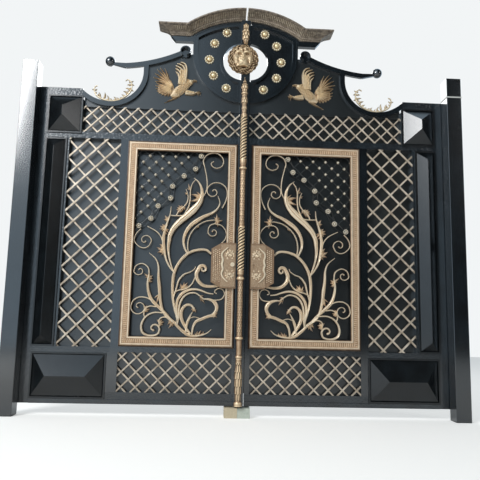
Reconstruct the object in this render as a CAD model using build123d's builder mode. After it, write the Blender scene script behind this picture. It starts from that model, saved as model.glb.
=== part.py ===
from build123d import *
import math
import os

os.makedirs("parts", exist_ok=True)

# Double leaf driveway gate, in millimetres
# X runs along the gate, Y away from the viewer, Z up
# The origin is the middle of the left post's foot
# Across the gate, places are given as the distance from its middle, the same on both leaves

# Posts
post = 116
post_height = 2660
post_edge = 3
gate_mid = 1661
strap_height = 2500
strap_width = 10
strap_thick = 2

# Leaf frame, with the leaf's front face as zero for all depths
post_gap = 6
leaf_front = post / 2 + post_gap
leaf_lap = 15
frame_depth = 60
leaf_bottom = 80
shoulder_top = 2496
shoulder_depth = 62
outer_stile_width = 93
bottom_rail_top = 165
bottom_step_top = 113
bottom_step = 8
lower_rail_bottom = 455
lower_rail_top = 490
panel_rail_bottom = 440
upper_rail_bottom = 2092
upper_rail_top = 2140
ledge_rail_height = 16
ledge_lap = 50
sheet_front = 50
sheet_thick = 4

# Middle of the gate, where each leaf ends
edge_of = {"left": 37, "right": 43}
side_of = {"left": -1, "right": 1}
bar_right_edge = 35
bar_front = -44
bar_back = 31
bar_top = 3114

# Gold frames, with the moulding's width and height from its outer edge
gold_edge_of = {"left": 40, "right": 65}
gold_width = 862
gold_bottom = 496
gold_top = 2084
gold_bar = 78
gold_moulding = ((0, 0), (8, 16), (18, 26), (26, 26), (29, 21), (61, 21), (64, 27), (72, 27), (78, 18),
                 (78, 0))
gold_depth = 27
mitre_gap = 0.4

# Uprights
mid_stile_outer_of = {"left": 960, "right": 987}
low_stile_outer = 1007
low_strip = 15
side_stile_inner = 1358
side_stile_outer = 1400
corner_stile_inner = 1268
corner_stile_outer = 1310
corner_stile_top = 2405
closing_strip = 40
closing_strip_top = 2600

# Crest
crest_front = 25
crest_thick = 6
crest_bottom = 2356
crest_bar = 38
crescent_low = (1068, 2400)
crescent_outer_r = 305
crescent_inner_r = 255
shoulder_end = 1284
swan_start = (957, 2706)
swan_mid = (757, 2741)
swan_end = (510, 2835)
swan_tip_height = 2722
swan_tip_half = 5
ball_centre = (1082, 2737)
ball_r = 39

# Volute that ends each swan neck, a strip rolled round a thin plate
volute_centre = (482, 2842)
volute_r = 46
volute_end_r = 24
volute_start = -40
volute_turn = 290
volute_lateness = 3
volute_strip = 9
volute_front = -22
volute_plate_front = 12

# Round crest with its opening
disc_centre_height = 2852
disc_r = 425
disc_border = 40
disc_groove = (14, 26)
disc_groove_depth = 4
disc_front = -8
disc_plate_front = 17
eye_centre = (24, 2776)
eye_r = 156
eye_ring = 24
arch_r = 750
arch_top = 3122
arch_centre_height = arch_top - arch_r

# Cornice, with its throw and rise up the moulding
cornice_front = -20
cornice_moulding = ((0, 0), (0, 7), (6, 10), (6, 14), (14, 24), (34, 34), (60, 42), (84, 47), (84, 50),
                    (93, 52), (93, 62))
cornice_throw = 93
cornice_rise = 62
cornice_start_of = {"left": 6, "right": 8}
wing_inner = 450
wing_bottom = arch_centre_height + math.sqrt(arch_r**2 - wing_inner**2)
wing_end = 607
under_end = 569
under_bottom = 2927
under_front = -12

# Rosettes round the crest, on an upright oval
rosette_ring = (289, 277)
rosette_ring_height = 2787
rosette_angles = (-59, -29, 0, 30, 58)
rosette_r = 40
rosette_lobes = 12
rosette_lobe_depth = 6
rosette_thick = 10
rosette_dome_r = 22
rosette_dome_height = 13
rosette_dome_lean = 28

# Lattices, each bar's width, pitch and first crossing from the field's inner edge
lattice_front = 4
lattice_layer = 10
top_bar = 10
top_pitch = 103
top_first = 83
side_bar = 12.5
side_pitch = 143
side_first = 47
bottom_bar = 11
bottom_pitch = 109
bottom_first = 54

# Hipped panels
panel_rim = 12
panel_rim_depth = 12
panel_plate = 4
ridge_width = 2

# Lock boxes
lock_near_of = {"left": 41, "right": 70}
lock_far_of = {"left": 229, "right": 249}
lock_bottom = 945
lock_top = 1290
lock_cut = 76
lock_cut_rise = 47
lock_front = -50
lock_back = 10
lock_plate_width = 115
lock_plate_edge = 6
lock_plate_thick = 4
lock_handle_thick = 8
lock_centre_height = 1125
knob_across = 27
knob_r = 16
keyhole_across = 25
keyhole_r = 8
keyhole_slot = (6, 24)

# Scrollwork and the bud lattice
scroll_front = -14
scroll_back = 6
bud_wire = 5
bud_back = 17
bud_pitch = 100
bud_wires = 14
bud_across = 742
bud_up = 1424
stud_side = 19
stud_top = 5
stud_front = 1
stud_back = 12
stud_clear = 20
rosebud_r = 23
rosebud_petals = 9
rosebud_petal_depth = 4
rosebud_wire = 21
rosebud_front = -8

# Centre pole, its axis in front of the bar
pole_x = -5
pole_stand = 26
twist_r = 25
twist_pitch = 80
twist_ridges = 4
twist_steps = 12

# Lion head roundel
lion_centre = (-22, 2775)
lion_r = 126
lion_plate = 12

# Hinges
hinge_inset = 40
hinge_depth = 20
hinge_heights = (420, 1290, 2160)
barrel_r = 14
pin_r = 7
bore_clear = 0.3
knuckle = 60
knuckle_gap = 0.5
hinge_plate = 16

# Stone stops on the ground
stop_left = 103
stop_seam = 7
stop_right = 87
stop_height = 72
stop_front = -62
stop_back = 62
stop_seam_gap = 1

# How closely a curved strand's outline follows it: turn in degrees, reach in millimetres
bend_turn = 22
bend_reach = 110
fine_steps = 90
curl_step = 45

# How deep a scalloped outline lies from one notch to the next, and where a leaf is widest
lobe_shape = (1, 0.3, 0, 0.3)
leaflet_widest = 0.4

# Worked out from the sizes above
post_inner = gate_mid - post / 2
leaf_outer = post_inner + leaf_lap
stile_inner = leaf_outer - outer_stile_width
hinge_out = post_inner + hinge_inset


def elevation(depth):
    """Upright drawing plane of the gate, this far behind the leaves' front."""
    return Plane(origin=(gate_mid, leaf_front + depth, 0), x_dir=(1, 0, 0), z_dir=(0, -1, 0))


def slab(side, near, far, low, high, front, back):
    """Add a box between two distances from the gate's middle."""
    width = far - near
    middle = gate_mid + side_of[side] * (near + far) / 2
    with Locations((middle, leaf_front + (front + back) / 2, (low + high) / 2)):
        Box(width, back - front, high - low)


def save(piece, name):
    """Label a finished piece and write it."""
    piece.label = name
    export_step(piece, f"parts/{name}.step")


def rectangle_between(side, near, far, low, high, mode=Mode.ADD):
    """Draw a rectangle between two distances from the gate's middle."""
    with Locations((side_of[side] * (near + far) / 2, (low + high) / 2)):
        Rectangle(far - near, high - low, mode=mode)


def polygon(side, places, mode=Mode.ADD):
    """Draw a straight-edged outline from distances off the gate's middle and heights."""
    return Polygon(*[(side_of[side] * across, up) for across, up in places], align=None, mode=mode)


def lobes(centre, radius, count, depth):
    """Places round a scalloped outline."""
    places = []
    steps = len(lobe_shape) * count
    for step in range(steps):
        turn = math.tau * step / steps
        reach = radius - depth * lobe_shape[step % len(lobe_shape)]
        places.append((centre[0] + reach * math.cos(turn), centre[1] + reach * math.sin(turn)))
    return places


# Strands, the smooth bars that scrolls, wires and garlands are drawn with
def bends(line):
    """Parts of a line where its outline has a corner, closer together where it turns more."""
    parts = [0]
    turned = 0
    for step in range(1, fine_steps):
        part = step / fine_steps
        turned += (line % (part - 1 / fine_steps)).get_angle(line % part)
        if turned > bend_turn or (part - parts[-1]) * line.length > bend_reach:
            parts.append(part)
            turned = 0
    return parts + [1]


def strand(places, widths):
    """Face of a smooth strand, with its width at the start, the middle and the end."""
    line = Spline(*places, mode=Mode.PRIVATE)
    first, middle, last = widths
    one_side = []
    other_side = []
    for part in bends(line):
        if part < 0.5:
            width = first + (middle - first) * 2 * part
        else:
            width = middle + (last - middle) * (2 * part - 1)
        ahead = line % part
        aside = Vector(-ahead.Y, ahead.X) * (width / 2)
        one_side.append(line @ part + aside)
        other_side.append(line @ part - aside)
    return Polygon(*one_side, *reversed(other_side), align=None, mode=Mode.PRIVATE)


def curl_places(start, curl):
    """Places of the closing curl that a strand ends in."""
    centre, last_r, turn, power = curl
    first_r = math.dist(start, centre)
    first_turn = math.atan2(start[1] - centre[1], start[0] - centre[0])
    count = round(abs(turn) / curl_step)
    places = []
    for step in range(1, count + 1):
        part = step / count
        radius = first_r + (last_r - first_r) * part**power
        angle = first_turn + math.radians(turn) * part
        places.append((centre[0] + radius * math.cos(angle), centre[1] + radius * math.sin(angle)))
    return places


def leaflet(base, tip, width):
    """Face of a pointed leaf with four corners, widest near its base."""
    along = Vector(*tip) - Vector(*base)
    middle = Vector(*base) + along * leaflet_widest
    aside = Vector(-along.Y, along.X).normalized() * (width / 2)
    return Polygon(base, middle + aside, tip, middle - aside, align=None, mode=Mode.PRIVATE)


# Posts, strap and stone stops
def make_posts():
    for name, place in (("left_post", 0), ("right_post", 2 * gate_mid)):
        with BuildPart() as pillar:
            with Locations((place, 0, post_height / 2)):
                Box(post, post, post_height)
            chamfer(pillar.edges().filter_by(Axis.Z), post_edge)
        save(pillar.part, name)


def make_strap():
    outer = post + 2 * strap_thick
    with BuildPart() as strap:
        with BuildSketch(Plane.XY.offset(strap_height)):
            with Locations((2 * gate_mid, 0)):
                Rectangle(outer, outer)
                Rectangle(post, post, mode=Mode.SUBTRACT)
        extrude(amount=strap_width)
    save(strap.part, "right_post_strap")


def make_stops():
    with BuildPart() as stops:
        slab("left", stop_seam + stop_seam_gap / 2, stop_left, 0, stop_height, stop_front, stop_back)
        middle_end = stop_seam - stop_seam_gap / 2
        slab("right", -middle_end, stop_right, 0, stop_height, stop_front, stop_back)
    save(stops.part, "stop_blocks")


# Leaf frame
def make_outer_stiles(side):
    with BuildPart() as stiles:
        slab(side, stile_inner, leaf_outer, leaf_bottom, shoulder_top, 0, frame_depth)
        slab(side, side_stile_inner, side_stile_outer, lower_rail_top, upper_rail_bottom, 0, frame_depth)
        slab(side, corner_stile_inner, corner_stile_outer, upper_rail_top, corner_stile_top, 0, frame_depth)
    save(stiles.part, f"{side}_outer_stiles")


def make_mid_stile(side):
    gold_far = gold_edge_of[side] + gold_width
    with BuildPart() as stile:
        slab(side, gold_far, low_stile_outer, bottom_rail_top, lower_rail_bottom, 0, frame_depth)
        slab(side, gold_far - ledge_lap, mid_stile_outer_of[side], lower_rail_bottom, upper_rail_bottom,
             0, frame_depth)
    save(stile.part, f"{side}_mid_stile")


def make_closing_stile(side):
    edge = edge_of[side]
    gold_edge = gold_edge_of[side]
    with BuildPart() as stile:
        slab(side, edge, gold_edge + low_strip, bottom_rail_top, lower_rail_bottom, 0, frame_depth)
        slab(side, edge, gold_edge + ledge_lap, lower_rail_bottom, upper_rail_bottom, 0, frame_depth)
        slab(side, edge, edge + closing_strip, upper_rail_top, closing_strip_top,
             crest_front + crest_thick, frame_depth)
    save(stile.part, f"{side}_closing_stile")


def make_lower_rails(side):
    near = gold_edge_of[side] + ledge_lap
    ledge_far = gold_edge_of[side] + gold_width - ledge_lap
    with BuildPart() as rails:
        slab(side, edge_of[side], stile_inner, leaf_bottom, bottom_rail_top, 0, frame_depth)
        slab(side, edge_of[side], stile_inner, leaf_bottom, bottom_step_top, -bottom_step, 0)
        slab(side, near, ledge_far, lower_rail_bottom, gold_bottom + ledge_lap, 0, frame_depth)
        slab(side, mid_stile_outer_of[side], stile_inner, lower_rail_bottom, lower_rail_top, 0, frame_depth)
        slab(side, low_stile_outer, stile_inner, panel_rail_bottom, lower_rail_top, 0, frame_depth)
    save(rails.part, f"{side}_lower_rails")


def make_upper_rails(side):
    edge = edge_of[side]
    near = gold_edge_of[side] + ledge_lap
    ledge_far = gold_edge_of[side] + gold_width - ledge_lap
    with BuildPart() as rails:
        slab(side, edge, stile_inner, upper_rail_bottom, upper_rail_top, 0, frame_depth)
        slab(side, near, ledge_far, gold_top - ledge_lap, upper_rail_bottom, 0, frame_depth)
        slab(side, shoulder_end, stile_inner, shoulder_top - shoulder_depth, shoulder_top, 0, frame_depth)
        slab(side, edge + closing_strip, corner_stile_inner, crest_bottom, crest_bottom + ledge_rail_height,
             crest_front + crest_thick, frame_depth)
    save(rails.part, f"{side}_upper_rails")


# Sheets
def crescent_curve(side, drop):
    """Line of the crescent, this far below its upper edge, from the shoulder to the swan neck."""
    s = side_of[side]
    low_x, low_z = crescent_low
    outer_r = crescent_outer_r + drop
    inner_r = crescent_inner_r + drop
    outer_centre = low_z + crescent_outer_r
    inner_centre = low_z + crescent_inner_r
    start_x = shoulder_end - low_x
    start = (s * shoulder_end, outer_centre - math.sqrt(outer_r**2 - start_x**2))
    half_turn = math.sin(math.radians(45))
    half_start = start_x / 2
    outer_mid = (s * (low_x + half_start), outer_centre - math.sqrt(outer_r**2 - half_start**2))
    low = (s * low_x, low_z - drop)
    inner_mid = (s * (low_x - inner_r * half_turn), inner_centre - inner_r * half_turn)
    end = (s * (low_x - inner_r), inner_centre)
    return start, outer_mid, low, inner_mid, end


def draw_crest_outline(side):
    """Draw the crest sheet's face, from the lattice up to the arch."""
    s = side_of[side]
    start, outer_mid, low, inner_mid, end = crescent_curve(side, 0)
    neck = (end[0], swan_mid[1])
    top = (s * swan_end[0], swan_end[1])
    disc_side = s * disc_r
    arch_side = (disc_side, arch_centre_height + math.sqrt(arch_r**2 - disc_r**2))
    arch_mid = (disc_side / 2, arch_centre_height + math.sqrt(arch_r**2 - (disc_r / 2)**2))
    with BuildLine() as outline:
        Line((0, crest_bottom), (s * shoulder_end, crest_bottom))
        Line((s * shoulder_end, crest_bottom), start)
        ThreePointArc(start, outer_mid, low)
        ThreePointArc(low, inner_mid, end)
        Polyline(end, neck, top, (disc_side, swan_end[1]), arch_side)
        ThreePointArc(arch_side, arch_mid, (0, arch_top))
        Line((0, arch_top), (0, crest_bottom))
    make_face(outline.edges())
    rectangle_between(side, corner_stile_inner, shoulder_end, crest_bottom, arch_top, mode=Mode.SUBTRACT)


def make_sheets(side):
    edge = edge_of[side]
    gold_edge = gold_edge_of[side]
    gold_far = gold_edge + gold_width
    sheet_back = sheet_front + sheet_thick
    fields = (
        (edge + closing_strip, corner_stile_inner, upper_rail_top, crest_bottom),
        (corner_stile_outer, stile_inner, upper_rail_top, shoulder_top - shoulder_depth),
        (gold_edge + ledge_lap, gold_far - ledge_lap, gold_bottom + ledge_lap, gold_top - ledge_lap),
        (mid_stile_outer_of[side], side_stile_inner, lower_rail_top, upper_rail_bottom),
        (side_stile_outer, stile_inner, lower_rail_top, upper_rail_bottom),
        (gold_edge + low_strip, gold_far, bottom_rail_top, lower_rail_bottom),
        (low_stile_outer, stile_inner, bottom_rail_top, panel_rail_bottom),
    )
    with BuildPart() as sheets:
        for near, far, low, high in fields:
            slab(side, near, far, low, high, sheet_front, sheet_back)
        with BuildSketch(elevation(crest_front + crest_thick)) as crest:
            draw_crest_outline(side)
            rectangle_between(side, 0, edge, crest_bottom, arch_top, mode=Mode.SUBTRACT)
            with Locations((side_of[side] * eye_centre[0], eye_centre[1])):
                Circle(eye_r, mode=Mode.SUBTRACT)
        extrude(crest.sketch, amount=crest_thick)
    save(sheets.part, f"{side}_sheets")


# Crest rails with the ball and the volute
def make_crest_rails(side):
    s = side_of[side]
    upper = crescent_curve(side, 0)
    lower = crescent_curve(side, crest_bar)
    neck_height = swan_mid[1]
    half = crest_bar / 2
    tip = ball_centre[0]
    volute = (s * volute_centre[0], volute_centre[1])
    angle = math.radians(volute_start)
    start_r = volute_r - volute_strip / 2
    roll_start = (volute_centre[0] + start_r * math.cos(angle), volute_centre[1] + start_r * math.sin(angle))
    roll = [roll_start] + curl_places(roll_start, (volute_centre, volute_end_r, volute_turn, volute_lateness))
    rolled = strand([(s * across, up) for across, up in roll], (volute_strip, volute_strip, volute_strip))
    with BuildPart() as rails:
        with BuildSketch(elevation(crest_front)) as band:
            with BuildLine():
                ThreePointArc(upper[0], upper[1], upper[2])
                ThreePointArc(upper[2], upper[3], upper[4])
                Polyline(upper[4], (upper[4][0], neck_height), (lower[4][0], neck_height), lower[4])
                ThreePointArc(lower[4], lower[3], lower[2])
                ThreePointArc(lower[2], lower[1], lower[0])
                Line(lower[0], upper[0])
            make_face()
            rectangle_between(side, shoulder_end, leaf_outer, leaf_bottom, arch_top, mode=Mode.SUBTRACT)
            with BuildLine() as swan_line:
                ThreePointArc((s * swan_start[0], swan_start[1]), (s * swan_mid[0], swan_mid[1]),
                              (s * swan_end[0], swan_end[1]))
            trace(swan_line.line, line_width=crest_bar)
            polygon(side, ((swan_start[0], swan_start[1] + half), (swan_start[0], swan_start[1] - half),
                           (tip, swan_tip_height - swan_tip_half), (tip, swan_tip_height + swan_tip_half)))
        extrude(band.sketch, amount=crest_front)
        with BuildSketch(elevation(crest_front)) as plate:
            with Locations(volute):
                Circle(volute_r - volute_strip / 2)
        extrude(plate.sketch, amount=crest_front - volute_plate_front)
        with BuildSketch(elevation(crest_front)) as strip:
            add(rolled)
        extrude(strip.sketch, amount=crest_front - volute_front)
        with Locations((gate_mid + s * tip, leaf_front + crest_front / 2, ball_centre[1])):
            Sphere(ball_r, rotation=(0, 0, 90))
    save(rails.part, f"{side}_crest_rails")


# Round crest
def draw_disc(side, inset):
    """Draw half of the round crest's outline, this far inside its rim."""
    width = disc_r - inset
    with Locations((0, disc_centre_height)):
        Circle(width)
    with Locations((0, disc_centre_height + width / 2)):
        Rectangle(2 * width, width)
    with Locations((0, arch_centre_height)):
        Circle(arch_r - inset, mode=Mode.INTERSECT)
    rectangle_between(side, edge_of[side] + (inset and disc_border / 2), disc_r,
                      crest_bottom, arch_top, mode=Mode.INTERSECT)


def make_disc(side):
    eye = (side_of[side] * eye_centre[0], eye_centre[1])
    with BuildPart() as disc:
        with BuildSketch(elevation(crest_front)) as whole:
            draw_disc(side, 0)
            with Locations(eye):
                Circle(eye_r, mode=Mode.SUBTRACT)
        extrude(whole.sketch, amount=crest_front - disc_front)
        with BuildSketch(elevation(disc_plate_front)) as field:
            draw_disc(side, disc_border)
            with Locations(eye):
                Circle(eye_r + eye_ring, mode=Mode.SUBTRACT)
        extrude(field.sketch, amount=disc_plate_front - disc_front, mode=Mode.SUBTRACT)
        with BuildSketch() as inside_groove:
            draw_disc(side, disc_groove[1])
        with BuildSketch(elevation(disc_front + disc_groove_depth)) as groove:
            draw_disc(side, disc_groove[0])
            add(inside_groove.sketch, mode=Mode.SUBTRACT)
        extrude(groove.sketch, amount=disc_groove_depth, mode=Mode.SUBTRACT)
        with BuildSketch(elevation(crest_front + crest_thick)) as arm:
            polygon(side, ((disc_r, under_bottom), (under_end, under_bottom), (wing_end, wing_bottom),
                           (disc_r, wing_bottom)))
        extrude(arm.sketch, amount=crest_front + crest_thick - under_front)
    save(disc.part, f"{side}_disc")


def make_rosettes(side):
    petals_front = disc_plate_front - rosette_thick
    places = []
    for angle in rosette_angles:
        turn = math.radians(angle)
        places.append((side_of[side] * rosette_ring[0] * math.cos(turn),
                       rosette_ring_height + rosette_ring[1] * math.sin(turn)))
    with BuildPart() as rosettes:
        with BuildSketch(elevation(disc_plate_front)) as flowers:
            with Locations(*places):
                Polygon(*lobes((0, 0), rosette_r, rosette_lobes, rosette_lobe_depth), align=None)
        extrude(flowers.sketch, amount=rosette_thick)
        with BuildSketch(elevation(petals_front)) as domes:
            with Locations(*places):
                RegularPolygon(rosette_dome_r, rosette_lobes)
        extrude(domes.sketch, amount=rosette_dome_height, taper=rosette_dome_lean)
    save(rosettes.part, f"{side}_rosettes")


# Cornice
def make_cornice(side):
    s = side_of[side]
    back = crest_front + crest_thick
    low_front = leaf_front + cornice_front
    arch_face = [(leaf_front + back, arch_top)]
    wing_face = [(leaf_front + back, wing_bottom)]
    end_face = [(wing_inner, wing_bottom)]
    for throw, rise in cornice_moulding:
        arch_face.append((low_front - throw, arch_top + rise))
        wing_face.append((low_front - throw, wing_bottom + rise))
        end_face.append((wing_end + throw, wing_bottom + rise))
    arch_face.append((leaf_front + back, arch_top + cornice_rise))
    wing_face.append((leaf_front + back, wing_bottom + cornice_rise))
    end_face.append((wing_inner, wing_bottom + cornice_rise))
    wing_length = wing_end + cornice_throw - wing_inner
    wing_start = gate_mid + min(s * wing_inner, s * (wing_inner + wing_length))
    with BuildPart() as cornice:
        with BuildSketch(Plane.YZ.offset(wing_start)) as wing:
            Polygon(*wing_face, align=None)
        extrude(wing.sketch, amount=wing_length)
        with BuildSketch(elevation(back)) as returns:
            polygon(side, end_face)
        extrude(returns.sketch, amount=back - cornice_front + cornice_throw, mode=Mode.INTERSECT)
        with BuildSketch(Plane.YZ.offset(gate_mid)) as arch:
            Polygon(*arch_face, align=None)
        revolve(arch.sketch, axis=Axis((gate_mid, leaf_front, arch_centre_height), (0, s, 0)),
                revolution_arc=math.degrees(math.asin(wing_inner / arch_r)))
        gap = cornice_start_of[side]
        with Locations((gate_mid, leaf_front, arch_top)):
            Box(2 * gap, 4 * cornice_throw, 4 * cornice_rise, mode=Mode.SUBTRACT)
    save(cornice.part, f"{side}_cornice")


# Eagles and leaf sprays
# An eagle's body with its head, upright wing, fanned wing, tail and claws, each with its thickness
eagle_pieces = (
    (26, ((386, 2592), (412, 2611), (445, 2612), (482, 2598), (545, 2590), (585, 2560), (600, 2515),
          (585, 2465), (555, 2437), (507, 2416), (457, 2438), (408, 2466), (402, 2500), (427, 2513),
          (437, 2542), (426, 2567), (408, 2588))),
    (34, ((487, 2570), (484, 2628), (468, 2690), (470, 2722), (488, 2742), (510, 2754), (528, 2768),
          (516, 2748), (554, 2752), (520, 2730), (556, 2722), (522, 2708), (554, 2698), (520, 2686),
          (550, 2670), (528, 2655), (545, 2630), (545, 2570))),
    (18, ((555, 2600), (585, 2658), (606, 2640), (640, 2628), (690, 2598), (712, 2570), (712, 2530),
          (700, 2500), (677, 2472), (640, 2452), (600, 2445), (572, 2470))),
    (14, ((512, 2414), (510, 2440), (565, 2432), (624, 2396), (620, 2386), (560, 2404))),
    (34, ((425, 2513), (398, 2512), (380, 2535), (354, 2524), (370, 2510), (384, 2500), (360, 2476),
          (376, 2456), (396, 2474), (410, 2465))),
)
fan_root = (612, 2570)
fan_tips = ((647, 2702), (686, 2708), (710, 2692), (727, 2658), (736, 2622), (722, 2590))
fan_feather = 19
fan_thick = 12
spray_line = ((955, 2580), (936, 2592), (912, 2574), (903, 2537), (909, 2500), (930, 2468), (958, 2444),
              (1000, 2420), (1050, 2409), (1095, 2411), (1145, 2427), (1180, 2452), (1197, 2492),
              (1190, 2522), (1172, 2530))
spray_widths = (8, 24, 8)
spray_leaves = (
    ((905, 2560), (884, 2545), 14), ((912, 2574), (892, 2584), 12), ((908, 2515), (886, 2497), 14),
    ((906, 2545), (942, 2547), 14), ((910, 2505), (952, 2520), 16), ((928, 2472), (970, 2493), 18),
    ((955, 2446), (982, 2466), 14), ((1120, 2418), (1113, 2480), 18), ((1080, 2411), (1096, 2456), 14),
    ((1150, 2430), (1160, 2478), 16), ((1196, 2490), (1216, 2500), 12), ((1020, 2414), (1042, 2446), 14),
)
spray_front = 8
spray_thick = 12


def make_eagle(side):
    s = side_of[side]
    root = (s * fan_root[0], fan_root[1])
    feathers = [leaflet(root, (s * tip[0], tip[1]), fan_feather) for tip in fan_tips]
    with BuildPart() as eagle:
        for thick, places in eagle_pieces:
            with BuildSketch(elevation(crest_front)) as shape:
                polygon(side, places)
            extrude(shape.sketch, amount=thick)
        with BuildSketch(elevation(crest_front)) as fan:
            add(feathers)
        extrude(fan.sketch, amount=fan_thick)
    save(eagle.part, f"{side}_eagle")


def make_leaf_spray(side):
    s = side_of[side]
    start, outer_mid, low, inner_mid, end = crescent_curve(side, 0)
    faces = [strand([(s * across, up) for across, up in spray_line], spray_widths)]
    for base, tip, width in spray_leaves:
        faces.append(leaflet((s * base[0], base[1]), (s * tip[0], tip[1]), width))
    with BuildPart() as spray:
        with BuildSketch(elevation(spray_front + spray_thick)) as shape:
            add(faces)
            with BuildSketch(mode=Mode.PRIVATE) as crescent:
                with BuildLine():
                    ThreePointArc(start, outer_mid, low)
                    ThreePointArc(low, inner_mid, end)
                    Line(end, start)
                make_face()
            add(crescent.sketch, mode=Mode.INTERSECT)
        extrude(shape.sketch, amount=spray_thick)
    save(spray.part, f"{side}_leaf_spray")


# Lattices
def lattice(side, near, far, low, high, width, pitch, first):
    """Add a lattice of two crossed layers of flat bars that fills a field."""
    span = far - near + high - low
    steps = int(span / pitch) + 2
    s = side_of[side]
    places = [(s * (near + first + step * pitch), (low + high) / 2) for step in range(-steps, steps)]
    for layer, lean in ((0, 45), (1, -45)):
        back = lattice_front + (2 - layer) * lattice_layer
        with BuildSketch(elevation(back)) as bars:
            with Locations(*places):
                Rectangle(2 * span, width, rotation=s * lean)
            rectangle_between(side, near, far, low, high, mode=Mode.INTERSECT)
        extrude(bars.sketch, amount=lattice_layer)


def make_lattices(side):
    gold_edge = gold_edge_of[side]
    gold_far = gold_edge + gold_width
    with BuildPart() as lattices:
        lattice(side, edge_of[side], corner_stile_inner, upper_rail_top, crest_bottom,
                top_bar, top_pitch, top_first)
        lattice(side, mid_stile_outer_of[side], side_stile_inner, lower_rail_top, upper_rail_bottom,
                side_bar, side_pitch, side_first)
        lattice(side, gold_edge + low_strip, gold_far, bottom_rail_top, lower_rail_bottom,
                bottom_bar, bottom_pitch, bottom_first)
    save(lattices.part, f"{side}_lattices")


# Hipped panels: inner edge, outer edge, bottom, top, projection, ridge length
panel_sizes = (
    (1283, 1528, 2138, 2422, 100, 75),
    (1387, 1530, 502, 2073, 70, 1430),
    (995, 1520, 127, 435, 100, 286),
)


def make_panels(side):
    s = side_of[side]
    with BuildPart() as panels:
        for near, far, low, high, rise, ridge in panel_sizes:
            width = far - near
            height = high - low
            ridge_x, ridge_z = (ridge_width, ridge) if height > width else (ridge, ridge_width)
            with BuildSketch(elevation(0)) as rim:
                rectangle_between(side, near - panel_rim, far + panel_rim, low - panel_rim, high + panel_rim)
            extrude(rim.sketch, amount=panel_plate)
            with BuildSketch(elevation(-panel_plate)) as edge:
                rectangle_between(side, near - panel_rim, far + panel_rim, low - panel_rim, high + panel_rim)
                rectangle_between(side, near, far, low, high, mode=Mode.SUBTRACT)
            extrude(edge.sketch, amount=panel_rim_depth - panel_plate)
            hip = rise - panel_plate
            middle = (gate_mid + s * (near + far) / 2, leaf_front - panel_plate - hip / 2, (low + high) / 2)
            with Locations(middle):
                Wedge(width, hip, height, (width - ridge_x) / 2, (height - ridge_z) / 2,
                      (width + ridge_x) / 2, (height + ridge_z) / 2, rotation=(180, 0, 0))
    save(panels.part, f"{side}_panels")


# Gold frames, a moulding swept round and mitred at the corners
def make_gold_frame(side):
    s = side_of[side]
    near = gate_mid + s * gold_edge_of[side]
    far = gate_mid + s * (gold_edge_of[side] + gold_width)
    middle = (gold_bottom + gold_top) / 2
    with BuildPart() as frame:
        with BuildLine() as path:
            Polyline((near, leaf_front, middle), (near, leaf_front, gold_top), (far, leaf_front, gold_top),
                     (far, leaf_front, gold_bottom), (near, leaf_front, gold_bottom), close=True)
        across = Plane(origin=(near, leaf_front, middle), x_dir=(s, 0, 0), z_dir=(0, 0, s))
        with BuildSketch(across) as section:
            Polygon(*[(width, -height) for width, height in gold_moulding], align=None)
        sweep(section.sketch, path=path.wire(), transition=Transition.RIGHT)
        for x, z, lean in ((near, gold_bottom, -45), (far, gold_top, -45), (near, gold_top, 45),
                           (far, gold_bottom, 45)):
            with Locations(Location((x, leaf_front, z), (0, s * lean, 0))):
                Box(4 * gold_bar, 4 * gold_depth, mitre_gap, mode=Mode.SUBTRACT)
    save(frame.part, f"{side}_gold_frame")


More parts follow.
